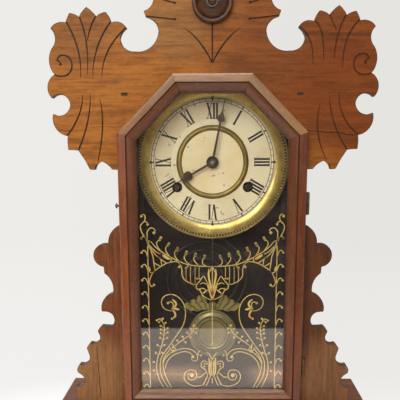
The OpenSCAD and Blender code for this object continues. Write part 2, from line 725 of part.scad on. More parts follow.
batten_w = 14;
batten_t = 12;
batten_drop = 60;
module dial_battens() {
    bottom = dial_z - batten_drop;
    color(walnut_dark) for (side = [-1, 1]) difference() {
        translate([side > 0 ? case_in - batten_w : -case_in, dial_y + pan_t, bottom])
            cube([batten_w, batten_t, case_top - board_t - bottom]);
        dial_nails_at(side);
    }
}
module dial_nails_at(side) {
    for (dz = [-12, 12]) facing(side * (case_in - 10), dial_y + pan_t + 7, dial_z + dz) {
        cylinder(h = 7 + pan_t, r = 0.7);
        translate([0, 0, 7 + pan_t]) cylinder(h = 0.6, r = 1.4);
    }
}
module dial_nails() color(brass) for (side = [-1, 1]) dial_nails_at(side);
module dial_pan() {
    color(paper) difference() {
        facing(0, dial_y + pan_t, dial_z) cylinder(h = pan_t, r = dial_r - sheet_t, $fn = 96);
        backing(0, dial_y - 1, dial_z) cylinder(h = pan_t + 2, r = hour_pipe_r + 1);
        for (side = [-1, 1]) {
            backing(side * winding_x, dial_y - 1, winding_z) cylinder(h = pan_t + 2, r = grommet_r - 0.8);
            dial_nails_at(side);
        }
    }
}
module dial_bezel() {
    rim = dial_r;
    color(brass) facing(0, dial_y, dial_z) rotate_extrude($fn = 96)
        polygon(outline([[paper_r, 0], [paper_r, sheet_t], [paper_r + 1, sheet_t + 0.3],
            [rim - 4.6, bezel_h - 1, -0.14], [rim - 2, bezel_h, 0.3], [rim, bezel_h - 2, 0.4],
            [rim, -pan_t], [rim - sheet_t, -pan_t], [rim - sheet_t, bezel_h - 2],
            [rim - 2, bezel_h - sheet_t, -0.4], [rim - 4.2, bezel_h - 1 - sheet_t, -0.3], [paper_r + 1.6, 0, 0.14]]));
}
module dial_centre_ring() {
    color(brass) facing(0, dial_y, dial_z) rotate_extrude($fn = 96)
        polygon(outline([[centre_ring_hole_r, 0], [centre_ring_r, 0], [centre_ring_r, 0.8],
            [centre_ring_r - 1.2, 1], [centre_ring_hole_r + 1.2, 1.6, -0.5], [centre_ring_hole_r, 0.8]]));
}
module winding_grommets() {
    color(blued) for (side = [-1, 1]) facing(side * winding_x, dial_y + pan_t, winding_z)
        rotate_extrude() polygon(outline([[grommet_hole_r, 0], [grommet_r - 0.85, 0], [grommet_r - 0.85, pan_t],
            [grommet_r, pan_t], [grommet_r - 0.8, pan_t + 1.1, -0.2], [grommet_hole_r, pan_t + 0.3, -0.2]]));
}

// Hands

// Right edge of a spade hand of length l, whose head starts at s and is w wide on each side
function spade(l, s, head, w) =
    [[1.5, 0], [1.1, s], [w, s + head * 0.35, -0.45], [w * 0.75, s + head * 0.6, -0.15],
        [0.8, s + head, 0.12], [0.3, l]];
module hand(l, s, head, w, boss, hole, y, turn) {
    edge = outline(spade(l, s, head, w));
    upright(y - hand_t, hand_t) translate([0, dial_z]) rotate(-turn) difference() {
        union() {
            polygon(concat(mirrored(edge), edge));
            circle(boss);
        }
        circle(hole);
    }
}
minute_turn = 11.4;
hour_turn = 240 + minute_turn / 12;
module minute_hand() color(blued) hand(minute_hand_l, 47.5, 12.5, 4.2, 3, arbor_r, minute_hand_y, minute_turn);
module hour_hand() {
    color(blued) hand(hour_hand_l, 28.5, 14.5, 5.8, 7.3, hour_pipe_r, hour_hand_y, hour_turn);
}
pin_y = minute_hand_y - hand_t - 1.1;
module hand_pin() {
    color(brass) {
        rightward(-4, pin_y, dial_z) cylinder(h = 8, r = 0.5);
        difference() {
            facing(0, minute_hand_y - hand_t, dial_z) cylinder(h = 0.6, r = 3.4);
            facing(0, minute_hand_y + 1, dial_z) cylinder(h = 5, r = arbor_r);
        }
    }
}
module centre_arbor() {
    color(steel) difference() {
        union() {
            backing(0, minute_hand_y - hand_t - 2.6, dial_z)
                cylinder(h = plate_back_y - minute_hand_y + hand_t + 2.6 + plate_t, r = arbor_r);
            backing(0, minute_hand_y, dial_z) cylinder(h = minute_wheel_y - minute_hand_y, r = cannon_r);
            facing(0, plates_y - 0.8, dial_z)
                gear(minute_pinion_n, module_1, pinion_phase, plates_y - 0.8 - minute_wheel_y + 0.5);
            backing(0, plate_back_y - 8, dial_z) cylinder(h = 2, r = 5);
        }
        rightward(-5, pin_y, dial_z) cylinder(h = 10, r = 0.5);
    }
}
// The minute pinion has a tooth space, and the hour wheel a tooth, on the line between the centres
pinion_phase = motion_angle + 180 / minute_pinion_n;
hour_phase = motion_angle + 180 / hour_wheel_n;
motion_x = motion_reach * cos(motion_angle);
motion_z = dial_z + motion_reach * sin(motion_angle);
module minute_wheel() {
    color(brass) difference() {
        union() {
            facing(motion_x, minute_wheel_y + wheel_t, motion_z)
                gear(minute_wheel_n, module_1, motion_angle + 180, wheel_t);
            facing(motion_x, minute_wheel_y, motion_z)
                gear(hour_pinion_n, module_2, motion_angle + 180, minute_wheel_y - hour_wheel_y + 0.3);
        }
        facing(motion_x, plates_y, motion_z) cylinder(h = 10, r = stud_r + run);
        for (a = [45:90:315]) facing(motion_x, minute_wheel_y + 5, motion_z) rotate(a) translate([8.3, 0, 0])
            cylinder(h = 10, r = 2.6);
    }
}
module hour_wheel() {
    color(brass) difference() {
        union() {
            facing(0, hour_wheel_y + wheel_t, dial_z) gear(hour_wheel_n, module_2, hour_phase, wheel_t);
            facing(0, hour_wheel_y + wheel_t, dial_z)
                cylinder(h = hour_wheel_y + wheel_t - hour_hand_y + hand_t + 0.6, r = hour_pipe_r);
        }
        facing(0, hour_wheel_y + 10, dial_z) cylinder(h = 40, r = cannon_r + run);
        for (a = [45:90:315]) facing(0, hour_wheel_y + 5, dial_z) rotate(a) translate([8.6, 0, 0])
            cylinder(h = 10, r = 3);
    }
}

// Movement

pillar_places = [for (side = [-1, 1], z = [dial_z - pillar_low, dial_z + pillar_high]) [side * pillar_x, z]];
screw_places = concat(pillar_places, [[gong_x, gong_z]]);
module plate_outline() {
    r = 7;
    half = plate_half_w - r;
    difference() {
        translate([0, dial_z]) polygon(outline([[-plate_half_w, plate_high - r], [-half, plate_high, 0.414],
            [half, plate_high], [plate_half_w, plate_high - r, 0.414], [plate_half_w, r - plate_low],
            [half, -plate_low, 0.414], [-half, -plate_low], [-plate_half_w, r - plate_low, 0.414]]));
        for (side = [-1, 1]) translate([side * 40, dial_z + 34]) circle(15);
        translate([0, dial_z - 40]) circle(12);
    }
}
module bearing_holes() {
    translate([0, dial_z]) circle(arbor_r + run);
    translate([0, escape_z]) circle(1 + run);
    translate([hammer_x, hammer_z]) circle(1 + run);
    for (side = [-1, 1]) translate([side * winding_x, winding_z]) circle(3 + run);
}
module movement_front_plate() {
    color(brass) {
        upright(plates_y, plate_t) difference() {
            plate_outline();
            bearing_holes();
            for (p = pillar_places) translate(p) circle(tenon_r);
        }
        facing(motion_x, plates_y, motion_z) cylinder(h = plates_y - hour_wheel_y + 0.8, r = stud_r);
        facing(0, plates_y, pivot_z) cylinder(h = 6, r = verge_stud_r);
    }
}
module movement_back_plate() {
    color(brass) upright(plate_back_y, plate_t) difference() {
        plate_outline();
        bearing_holes();
        for (p = pillar_places) translate(p) circle(pillar_r);
    }
}
module plate_pillars() {
    start = plates_y + plate_t;
    color(steel) for (p = pillar_places) difference() {
        union() {
            backing(p.x, start, p.y) cylinder(h = back_y - start, r = pillar_r);
            facing(p.x, start, p.y) cylinder(h = plate_t + 1.5, r = tenon_r);
        }
        facing(p.x, back_y + 1, p.y) cylinder(h = 11, r = movement_screw_r);
    }
}
module movement_screws() {
    color(steel) for (p = screw_places) facing(p.x, back_y + back_t, p.y) {
        cylinder(h = back_t + 8, r = movement_screw_r);
        rotate([180, 0, 0]) difference() {
            rotate_extrude() polygon(outline([[0, 0], [4, 0], [4, 0.6], [0, 2.4, -0.3]]));
            translate([-5, -0.4, 1.4]) cube([10, 0.8, 3]);
        }
    }
}
spring_y = plates_y + plate_t + 2;
spring_w = 16;
spring_turns = 6;
spring_t = 0.5;
function spring_point(t, out) =
    let (r = 4.2 + (mainspring_r - 4.2 - spring_t) * t / spring_turns + out) r * [cos(360 * t), sin(360 * t)];
module mainsprings() {
    steps = 24 * spring_turns;
    color(blued) for (side = [-1, 1]) upright(spring_y, spring_w) translate([side * winding_x, winding_z])
        polygon(concat([for (i = [0:steps]) spring_point(i / 24, 0)],
            [for (i = [steps:-1:0]) spring_point(i / 24, spring_t)]));
}
main_wheel_r = 26;
main_wheel_y = spring_y + spring_w + 1;
main_wheel_teeth = 60;
module main_wheel(x) {
    front = dial_y - 1.5;
    tooth = 2 * main_wheel_r / (main_wheel_teeth + 2);
    difference() {
        union() {
            facing(x, main_wheel_y + 2, winding_z) gear(main_wheel_teeth, tooth, 0, 2);
            facing(x, plate_back_y + plate_t, winding_z)
                cylinder(h = plate_back_y + plate_t - dial_y - 3, r = 3);
            facing(x, main_wheel_y, winding_z) cylinder(h = 0.7, r = 7);
            translate([x - 2.1, front, winding_z - 2.1]) cube([4.2, dial_y + 4 - front, 4.2]);
        }
        for (a = [45:90:315]) facing(x, main_wheel_y + 5, winding_z) rotate(a) translate([15, 0, 0])
            cylinder(h = 10, r = 6);
    }
}
module time_main_wheel() color(brass) main_wheel(-winding_x);
module strike_main_wheel() color(brass) main_wheel(winding_x);
escape_pitch = 360 / escape_n;
module escape_wheel() {
    root = escape_r - 2.4;
    teeth = [for (k = [0:escape_n - 1]) let (a = escape_pitch * (k + 0.5))
        each [[root, a - 2.6], [escape_r, a - 0.6], [escape_r, a + 0.6], [root, a + 2.6]]];
    color(brass) difference() {
        union() {
            facing(0, escape_y, escape_z) linear_extrude(wheel_t) polygon(polar(teeth));
            facing(0, plate_back_y + plate_t, escape_z)
                cylinder(h = plate_back_y + plate_t - escape_y + wheel_t + 0.5, r = 1);
            facing(0, escape_y + 1.5, escape_z) cylinder(h = 3.2, r = 2.4);
        }
        for (a = [0:90:270]) facing(0, escape_y + 1, escape_z) rotate(a) translate([7, 0, 0])
            cylinder(h = 6, r = 2.8);
    }
}
// A point seen from the verge's pivot, at radius r and angle a about the escape wheel
function round_wheel(r, a) = r * [cos(a), sin(a)] - [0, pivot_z - escape_z];
module verge() {
    color(steel) difference() {
        union() {
            facing(0, verge_y, pivot_z) cylinder(h = verge_t, r = 3);
            for (side = [0, 1]) mirror([side, 0, 0]) upright(verge_y - verge_t, verge_t)
                translate([0, pivot_z]) polygon([[0, 2.2], [0, -2.2], [1.5, -2],
                    round_wheel(escape_r + 1.9, 47.5), round_wheel(escape_r + pallet_gap, 46),
                    round_wheel(escape_r + pallet_gap, 44), round_wheel(escape_r + 1.9, 42),
                    round_wheel(escape_r + 4.5, 41), [4, 1.5]]);
            crutch();
        }
        facing(0, plates_y, pivot_z) cylinder(h = 20, r = verge_stud_r + run);
    }
}
// Wire that hangs from the verge and holds the pendulum rod between two prongs
module crutch() {
    wire_y = verge_y - verge_t - 0.8;
    translate([-0.6, wire_y - 0.5, crutch_z]) cube([1.2, 1, pivot_z - crutch_z]);
    translate([-2.2, wire_y - 0.5, pivot_z - 2]) cube([4.4, 1.4, 4]);
    translate([-1.9, wire_y - 0.5, crutch_z]) cube([3.8, 1, 1.2]);
    for (x = [-1.9, 0.9]) translate([x, rod_y - 1.2, crutch_z]) cube([1, wire_y - rod_y + 1.6, 1.2]);
}
module suspension_post() {
    color(brass) {
        facing(0, plates_y, pivot_z + 8) cylinder(h = plates_y - rod_y + 3, r = 2.5);
        translate([-1.6, rod_y - 1.6, pivot_z + 1.5 + loose]) cube([3.2, 3.2, 6]);
    }
}

// Strike hammer

hammer_reach = gong_r + gong_wire_r + hammer_head_r + hammer_gap;
hammer_place = [gong_x, gong_z] + hammer_reach * [cos(hammer_angle), sin(hammer_angle)];
module strike_hammer() {
    d = [hammer_x, hammer_z] - hammer_place;
    color(steel) {
        facing(hammer_x, plate_back_y + plate_t, hammer_z) cylinder(h = 2 * plate_t + plate_space, r = 1);
        facing(hammer_x, hammer_y + 1.5, hammer_z) cylinder(h = 3, r = 3);
        translate([hammer_place.x, hammer_y, hammer_place.y]) rotate([0, atan2(d.x, d.y), 0])
            cylinder(h = norm(d), r = 0.9);
        facing(hammer_place.x, gong_y + 7, hammer_place.y) cylinder(h = 12, r = hammer_head_r);
    }
}

// Pendulum

module pendulum_rod() {
    top = pivot_z + 1.5;
    loop_top = dial_z + loop_r;
    loop_foot = dial_z - loop_r;
    color(steel) {
        translate([-0.15, rod_y - 1.3, pivot_z - 6]) cube([0.3, 2.6, 7.5]);
        translate([0, rod_y, loop_top]) cylinder(h = pivot_z - 4 - loop_top, r = rod_r);
        facing(0, rod_y, dial_z) rotate_extrude() translate([loop_r, 0]) circle(loop_wire_r, $fn = 16);
        translate([0, rod_y, bob_z - bob_r - 8]) cylinder(h = loop_foot - bob_z + bob_r + 8, r = rod_r);
    }
}
module bob_hole(z0, z1) translate([0, rod_y, z0]) cylinder(h = z1 - z0, r = rod_r + run);
module pendulum_bob() {
    r = bob_r;
    h = bob_t / 2;
    color(brass) difference() {
        facing(0, rod_y, bob_z) rotate_extrude($fn = 96)
            polygon(outline([[0, -h + 1], [r - 6, -h + 1], [r, -1, -0.12], [r, 0.6], [r - 1.2, 1.8, -0.4],
                [r - 3, 1.4], [r - 8, h - 0.6, 0.1], [r - 10, h - 0.9, 0.3], [r - 11.5, h, -0.5],
                [r - 13, h - 0.6], [0, h - 0.6]]));
        bob_hole(bob_z - bob_r - 1, bob_z + bob_r + 1);
    }
}
// Right half of the leaf ornament from the middle of a bob of radius 31
leaf_edge = outline([[2.6, 41], [6.5, 39, -0.2], [8, 43, -0.1], [11, 47.5, 0.15], [15, 50, 0.3], [19, 48, 0.3],
    [20, 43.5, -0.1], [24, 44.5, 0.2], [28, 42, 0.3], [27.5, 39.5, -0.1], [33, 40, 0.2], [36, 36.5, 0.4],
    [33, 33, 0.3], [28, 29, 0.1], [22.5, 30, -0.1], [19, 28.5, 0.1], [14, 30.5, -0.1], [10, 31], [0, 31.4]])
    * (bob_r / 31);
module bob_ornament() {
    color(brass) difference() {
        union() {
            upright(rod_y - 0.6, 1.2) translate([0, bob_z])
                polygon(concat(leaf_edge, mirrored([for (i = [0:len(leaf_edge) - 2]) leaf_edge[i]])));
            translate([0, rod_y, bob_z + bob_r * 1.03]) cylinder(h = bob_r * 0.29, r = bob_r * 0.06);
        }
        bob_hole(bob_z + bob_r * 0.7, bob_z + bob_r * 1.6);
    }
}
module rating_nut() {
    color(brass) difference() {
        translate([0, rod_y, bob_z - bob_r - 4.3]) cylinder(h = 4, r = 3.6);
        bob_hole(bob_z - bob_r - 6, bob_z - bob_r + 1);
    }
}

// Gong

gong_inner_r = gong_post_r + gong_wire_r + 0.1;
gong_steps = 24;
gong_rings = ceil(gong_turns * gong_steps);
function gong_out(i) = let (a = 90 - 360 * gong_turns * (1 - i / gong_rings)) [cos(a), sin(a)];
function gong_centre(i) =
    [gong_x, gong_z] + gong_out(i) * (gong_inner_r + (gong_r - gong_inner_r) * min(1, 1.06 * i / gong_rings));
gong_points = [for (i = [0:gong_rings], k = [0:5])
    let (c = gong_centre(i), o = gong_out(i), a = 60 * k)
    [c.x + o.x * gong_wire_r * cos(a), gong_y + gong_wire_r * sin(a), c.y + o.y * gong_wire_r * cos(a)]];
gong_faces = concat([for (k = [1:4]) [0, k + 1, k]],
    [for (i = [0:gong_rings - 1], k = [0:5]) each [[6 * i + k, 6 * i + (k + 1) % 6, 6 * i + 6 + k],
        [6 * i + (k + 1) % 6, 6 * i + 6 + (k + 1) % 6, 6 * i + 6 + k]]],
    [for (k = [1:4]) [6 * gong_rings, 6 * gong_rings + k, 6 * gong_rings + k + 1]]);
gong_least_gap = min([for (i = [0:gong_rings - gong_steps])
    norm(gong_centre(i) - gong_centre(i + gong_steps)) - 2 * gong_wire_r]);
echo(gong_least_gap = gong_least_gap);
module gong_coil() color(blued) polyhedron(gong_points, gong_faces);
module gong_base() {
    back = back_y - gong_y;
    color(iron) difference() {
        facing(gong_x, back_y, gong_z) rotate_extrude()
            polygon(outline([[0, 0], [18, 0], [18, 2.5], [16, 3.5, -0.3], [gong_post_r, back - 4, 0.25],
                [gong_post_r, back + 3], [gong_post_r - 1.5, back + 4.5, -0.4], [0, back + 4.5]]));
        facing(gong_x, back_y + 1, gong_z) cylinder(h = 9, r = movement_screw_r);
    }
}

crest_board();
crest_rosette();
left_wing();
right_wing();
left_side_board();
right_side_board();
case_top_board();
case_bottom_board();
back_board();
case_nails();
base_top_board();
base_front_moulding();
base_left_moulding();
base_right_moulding();
base_back_rail();
dial_battens();
dial_pan();
dial_bezel();
dial_centre_ring();
winding_grommets();
dial_nails();
movement_front_plate();
movement_back_plate();
plate_pillars();
movement_screws();
mainsprings();
gong_coil();
gong_base();
suspension_post();
hinge_case_leaves();
hinge_pins();
case_hinge_screws();
latch_screw();
door_left_stile();
door_right_stile();
door_bottom_rail();
door_top_rail();
door_left_diagonal();
door_right_diagonal();
door_glass();
glazing_strips();
hinge_door_leaves();
door_hinge_screws();
latch_pin();
latch_hook();
centre_arbor();
minute_hand();
hand_pin();
minute_wheel();
hour_wheel();
hour_hand();
escape_wheel();
verge();
pendulum_rod();
pendulum_bob();
bob_ornament();
rating_nut();
time_main_wheel();
strike_main_wheel();
strike_hammer();
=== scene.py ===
"""Gingerbread clock: its wood, brass, printed dial and gilded glass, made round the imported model."""

import json
import math

import bmesh
import bpy
import numpy as np
from mathutils import Matrix, Vector
from mathutils.kdtree import KDTree


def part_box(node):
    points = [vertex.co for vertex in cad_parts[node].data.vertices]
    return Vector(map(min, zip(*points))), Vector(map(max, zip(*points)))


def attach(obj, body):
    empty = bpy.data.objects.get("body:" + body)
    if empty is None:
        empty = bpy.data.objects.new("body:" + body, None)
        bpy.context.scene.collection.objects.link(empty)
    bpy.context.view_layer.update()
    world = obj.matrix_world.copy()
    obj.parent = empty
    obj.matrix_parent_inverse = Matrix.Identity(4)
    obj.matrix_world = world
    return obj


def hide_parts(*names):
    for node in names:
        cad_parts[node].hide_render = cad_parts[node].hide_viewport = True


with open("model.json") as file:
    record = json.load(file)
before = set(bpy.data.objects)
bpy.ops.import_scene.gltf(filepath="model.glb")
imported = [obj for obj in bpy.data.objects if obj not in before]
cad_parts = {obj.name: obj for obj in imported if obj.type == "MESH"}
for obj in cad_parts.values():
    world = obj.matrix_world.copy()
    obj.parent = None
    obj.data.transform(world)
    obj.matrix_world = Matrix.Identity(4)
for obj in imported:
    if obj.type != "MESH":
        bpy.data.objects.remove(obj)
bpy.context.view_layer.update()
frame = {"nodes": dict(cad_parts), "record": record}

bl_info = {
    "name": "Gingerbread clock",
    "version": (1, 0, 0),
    "blender": (4, 5, 0),
    "location": "3D View > Sidebar > Clock",
    "description": "Dresses the packed gingerbread clock in wood, brass, printed paper and gilded glass",
    "category": "Object",
}

MM = 0.001
BODY_OF = {node: body for body, nodes in frame["record"]["behaviour"]["bodies"].items() for node in nodes}
SLOT_OF = {part["node"]: part["material_slot"] for part in frame["record"]["subparts"]}


def low(node, axis):
    """The lower side of a node's box along an axis, in millimetres."""
    return getattr(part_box(node)[0], axis) / MM


def high(node, axis):
    return getattr(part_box(node)[1], axis) / MM


def middle(node, axis="z"):
    return (low(node, axis) + high(node, axis)) / 2


def half_width(node):
    return (high(node, "x") - low(node, "x")) / 2


# Places in millimetres

FRONT_Y = low("crest_board", "y")
DIAL_Y = high("dial_centre_ring", "y")
DIAL_Z = middle("dial_bezel")
DIAL_MIDDLE = (0.0, DIAL_Z)
BEZEL_FRONT_Y = low("dial_bezel", "y")
BEZEL_R = half_width("dial_bezel")
GLASS_BACK_Y = high("door_glass", "y")
BACK_BOARD_Y = low("back_board", "y")
CASE_INNER_X = -high("left_side_board", "x")
CASE_FLOOR_Z = high("case_bottom_board", "z")
CASE_CEILING_Z = low("case_top_board", "z")
DOOR_SIDE = high("door_right_stile", "x")
DOOR_FOOT_Z = low("door_bottom_rail", "z")
OCTAGON_Z = high("door_top_rail", "z") - DOOR_SIDE
BOB_Z = middle("pendulum_bob")
SLANT = math.sqrt(0.5)
# Depths between which a carved stroke gets painted shade
CARVED_Y = (FRONT_Y + 0.12, FRONT_Y + 0.7)
# On a door bar, from its outer edge: where its flat ends, how far its slope goes, and the groove between
BAR_EDGE, BAR_SLOPE, BAR_GROOVE, GROOVE_HALF = (9.8, 11.0), (12.0, 21.0), 10.2, (0.45, 0.95)
# Radii on the dial: under the brass ring, at the inner end of the numerals and at the worn rim
RING_R, NUMERALS_R, WORN_R = (38.0, 42.0), (49.6, 51.0), (72.5, 76.5)


def srgb(red, green, blue):
    """A colour written as 0 to 255 on screen, as the shaders' linear numbers."""
    levels = [level / 255 for level in (red, green, blue)]
    return (*(v / 12.92 if v <= 0.04045 else ((v + 0.055) / 1.055) ** 2.4 for v in levels), 1.0)


def scaled(tone, factor):
    """A colour made darker or lighter, whether it is four numbers or a socket."""
    return tone * factor if isinstance(tone, Socket) else (*(c * factor for c in tone[:3]), 1.0)


# Dark of the cracks, also used for the painted shade in carved strokes
CRACK_AND_SHADE = srgb(40, 20, 12)


# Shader sums


class Socket:
    """A socket of a shader tree, so that sums with it add their Math nodes."""

    def __init__(self, finish, socket):
        self.finish = finish
        self.socket = socket

    def joined(self, operation, first, second):
        kind = "ShaderNodeMath"
        if any(isinstance(s, Socket) and s.socket.type in ("VECTOR", "RGBA") for s in (first, second)):
            kind = "ShaderNodeVectorMath"
            first, second = ((s,) * 3 if isinstance(s, (int, float)) else s for s in (first, second))
        return self.finish.add(kind, {"operation": operation}, {0: first, 1: second})

    def __add__(self, other):
        return self.joined("ADD", self, other)

    def __radd__(self, other):
        return self.joined("ADD", other, self)

    def __sub__(self, other):
        return self.joined("SUBTRACT", self, other)

    def __rsub__(self, other):
        return self.joined("SUBTRACT", other, self)

    def __mul__(self, other):
        return self.joined("MULTIPLY", self, other)

    def __rmul__(self, other):
        return self.joined("MULTIPLY", other, self)

    def __truediv__(self, other):
        return self.joined("DIVIDE", self, other)


class Finish:
    """One material or the world, and the way its nodes are added."""

    def __init__(self, name, kind="Material"):
        made = bpy.data.worlds if kind == "World" else bpy.data.materials
        self.owner = made.new(name)
        self.owner.use_nodes = True
        self.tree = self.owner.node_tree
        self.tree.nodes.clear()
        self.output = self.tree.nodes.new(f"ShaderNodeOutput{kind}")

    def add(self, kind, settings=None, inputs=None, out=0):
        """Adds a node. Its settings come first, then the values or links of its sockets."""
        node = self.tree.nodes.new(kind)
        for name, value in (settings or {}).items():
            setattr(node, name, value)
        for name, value in (inputs or {}).items():
            if isinstance(value, Socket):
                self.tree.links.new(value.socket, node.inputs[name])
            else:
                node.inputs[name].default_value = value
        return Socket(self, node.outputs[out])

    def place(self):
        """The point of the surface in millimetres, as a vector."""
        return self.add("ShaderNodeTexCoord", out="Object") * 1000.0

    def parts(self):
        """The point's x, y and z in millimetres."""
        node = self.add("ShaderNodeSeparateXYZ", inputs={0: self.place()}).socket.node
        return [Socket(self, output) for output in node.outputs]

    def noise(self, vector, detail=2.0, distortion=0.0):
        return self.add("ShaderNodeTexNoise", inputs={"Vector": vector, "Scale": 1.0, "Detail": detail,
                                                      "Distortion": distortion})

    def cloud(self, pitch, detail=2.0, distortion=0.0):
        """Noise with so many waves to the millimetre."""
        return self.noise(self.place() * pitch, detail, distortion)

    def attribute(self, name):
        """A number that is stored with the mesh."""
        return self.add("ShaderNodeAttribute", {"attribute_name": name}, out="Fac")

    def length(self, vector):
        return self.add("ShaderNodeVectorMath", {"operation": "LENGTH"}, {0: vector}, out="Value")

    def radius(self, centre):
        """The distance from a line along Y through a centre x and z, in millimetres."""
        return self.length((self.place() - (centre[0], 0.0, centre[1])) * (1.0, 0.0, 1.0))

    def ray(self, kind):
        """1 where the light path is of a kind, such as Camera."""
        return self.add("ShaderNodeLightPath", out=f"Is {kind} Ray")

    def blend(self, share, first, second):
        return self.add("ShaderNodeMixShader", inputs={0: share, 1: first, 2: second})

    def glow(self, colour, strength=1.0, kind="ShaderNodeEmission"):
        return self.add(kind, inputs={"Color": colour, "Strength": strength})

    def principled(self, base, rough, metallic=0.0, bump=None, gloss=None):
        """Principled surface; bump is a height, its strength and its distance in millimetres."""
        inputs = {"Base Color": base, "Roughness": rough, "Metallic": metallic}
        if gloss is not None:
            inputs["Specular IOR Level"] = gloss
        if bump:
            height, strength, distance = bump
            inputs["Normal"] = self.add("ShaderNodeBump", inputs={"Height": height, "Strength": strength,
                                                                  "Distance": distance * MM})
        return self.add("ShaderNodeBsdfPrincipled", inputs=inputs)

    def done(self, shader):
        self.tree.links.new(shader.socket, self.output.inputs["Surface"])
        return self.owner

    def surface(self, *values, **options):
        return self.done(self.principled(*values, **options))


def math_of(operation, first, *second):
    """A Math node that has no sign in Python."""
    return first.finish.add("ShaderNodeMath", {"operation": operation}, dict(enumerate((first, *second))))


def absolute(value):
    return math_of("ABSOLUTE", value)


def step(value, start, end):
    """0 below start, 1 above end and smooth between them."""
    return value.finish.add("ShaderNodeMapRange", {"interpolation_type": "SMOOTHSTEP"},
                            {0: value, 1: start, 2: end, 3: 0.0, 4: 1.0})


def fall(value, start, end):
    """1 below start, 0 above end and smooth between them."""
    return 1.0 - step(value, start, end)


def mix(first, second, share):
    return share.finish.add("ShaderNodeMix", {"data_type": "RGBA"}, {0: share, 6: first, 7: second}, out=2)


# Wood


def grain_axes(finish, grain):
    """Coordinates along the grain and across it, in millimetres."""
    x, y, z = finish.parts()
    axes = {"across": (x, z, y), "upright": (z, x, y), "deep": (y, x, z)}
    if grain in axes:
        return axes[grain]
    up, down = (x + z) * SLANT, (z - x) * SLANT
    return (up, down, y) if grain == "rising" else (down, up, y)


def wood_colour(finish, grain, light, dark, seed=0.0):
    """Figured walnut: broad figure, growth lines and short dark pores. Also gives the pores' height."""
    along, side, deep = grain_axes(finish, grain)
    side = side + seed

    def streaks(long, wide, thick, *character):
        sides = {0: along / long, 1: side / wide, 2: deep / thick}
        return finish.noise(finish.add("ShaderNodeCombineXYZ", inputs=sides), *character)

    broad = streaks(60.0, 9.0, 9.0, 3.0, 0.9)
    lines = streaks(60.0, 1.6, 2.5, 2.0, 0.35)
    curl = streaks(9.0, 2.6, 6.0, 2.0, 0.6)
    pore = step(streaks(7.0, 0.42, 0.42, 1.0), 0.56, 0.72)
    colour = mix(dark, light, step(broad * 0.46 + lines * 0.3 + curl * 0.24, 0.36, 0.62))
    return mix(colour, scaled(dark, 0.45), pore * 0.42), pore, lines


def waxed(finish, colour, rough, wear_pitch, pore, lines, gloss):
    """Wax over open pores, rubbed unevenly."""
    wear = finish.cloud(wear_pitch)
    return finish.surface(colour, rough + (wear - 0.5) * 0.16 + pore * 0.12,
                          bump=(lines * 0.35 - pore, 0.25, 0.25), gloss=gloss)


def crack(finish, start, end, width):
    """1 along a thin crack between two points of the front, given as x and z in millimetres."""
    x, _, z = finish.parts()
    run = Vector(end) - Vector(start)
    along = run.normalized()
    wander = (finish.cloud((0.09, 0.0, 0.09), 3.0) - 0.5) * 5.0
    far = (x - start[0]) * along.x + (z - start[1]) * along.y
    off = absolute((x - start[0]) * along.y - (z - start[1]) * along.x + wander)
    return fall(off, width * 0.5, width) * step(far, 0.0, 3.0) * fall(far, run.length - 6.0, run.length)


def wood(name, grain, light, dark, seed=0.0, gloss=0.18, carved=None, patches=(), cracks=()):
    """Waxed walnut. Patches make it lighter or darker round a point, and cracks are dark. Carved gives the
    shares, at the left and the right, of painted shade in the deeper places, and the rounded corners there
    get a line of painted shade too."""
    finish = Finish(name)
    for centre, reach, tone, share in patches:
        near = fall(finish.radius(centre), reach * 0.4, reach) * share
        light = mix(light, tone, near)
        dark = mix(dark, scaled(tone, 0.62), near)
    colour, pore, lines = wood_colour(finish, grain, light, dark, seed)
    if carved:
        left, right = carved
        x, y, _ = finish.parts()
        # Painted shade in the carved strokes by depth, its share going from the left value to the right one
        grime_and_shade = step(y, *CARVED_Y) * (left + step(x, 20.0, 110.0) * (right - left))
        colour = mix(colour, CRACK_AND_SHADE, grime_and_shade)
        # Painted shade: a dark line on the rounded corners along the sawn outline
        colour = mix(colour, srgb(44, 25, 17), finish.attribute("corner") * 0.8)
    for start, end, width, share in cracks:
        colour = mix(colour, CRACK_AND_SHADE, crack(finish, start, end, width) * share)
    return waxed(finish, colour, 0.44, 0.03, pore, lines, gloss)


def bar_wood(name, grain, seed, way, centre_z, outer, inner, gloss):
    """Waxed walnut of a door bar: a tone on its flat, another on its inner slope, darker further down the
    slope as painted shade, and painted shade in the groove between them.
    """
    finish = Finish(name)
    x, _, z = finish.parts()
    inward = DOOR_SIDE - (x * way[0] + (z - centre_z) * way[1])
    light = mix(outer, inner, step(inward, *BAR_EDGE))
    # Painted shade further down the inner slope
    light = mix(light, scaled(inner, 0.7), step(inward, *BAR_SLOPE))
    colour, pore, lines = wood_colour(finish, grain, light, scaled(light, 0.62), seed)
    # Painted shade in the groove between the flat and the slope
    groove = fall(absolute(inward - BAR_GROOVE), *GROOVE_HALF)
    colour = mix(colour, srgb(40, 16, 4), groove * 0.9)
    return waxed(finish, colour, 0.25 + groove * 0.5, 0.05, pore, lines, gloss)


def case_wood(name, grain, light, dark, inside):
    """Walnut outside; on the faces inside the case, dark bare wood made nearly black with painted shade."""
    finish = Finish(name)
    colour, pore, lines = wood_colour(finish, grain, light, dark)
    x, y, z = finish.parts()
    # Painted shade on the faces inside the case, where little light gets in
    within = fall(absolute(x), CASE_INNER_X + 0.2, CASE_INNER_X + 0.8)
    within = within * fall(y, BACK_BOARD_Y + 0.2, BACK_BOARD_Y + 0.8)
    within = within * step(z, CASE_FLOOR_Z - 0.8, CASE_FLOOR_Z - 0.2)
    within = within * fall(z, CASE_CEILING_Z + 0.2, CASE_CEILING_Z + 0.8)
    dim = mix(inside, scaled(inside, 1.8), step(finish.cloud(0.02, 3.0), 0.45, 0.75))
    dim = mix(dim, srgb(12, 8, 8), pore * 0.5)
    return finish.surface(mix(colour, dim, within), 0.55 + pore * 0.15, bump=(lines * 0.3 - pore, 0.3, 0.25),
                          gloss=0.3)


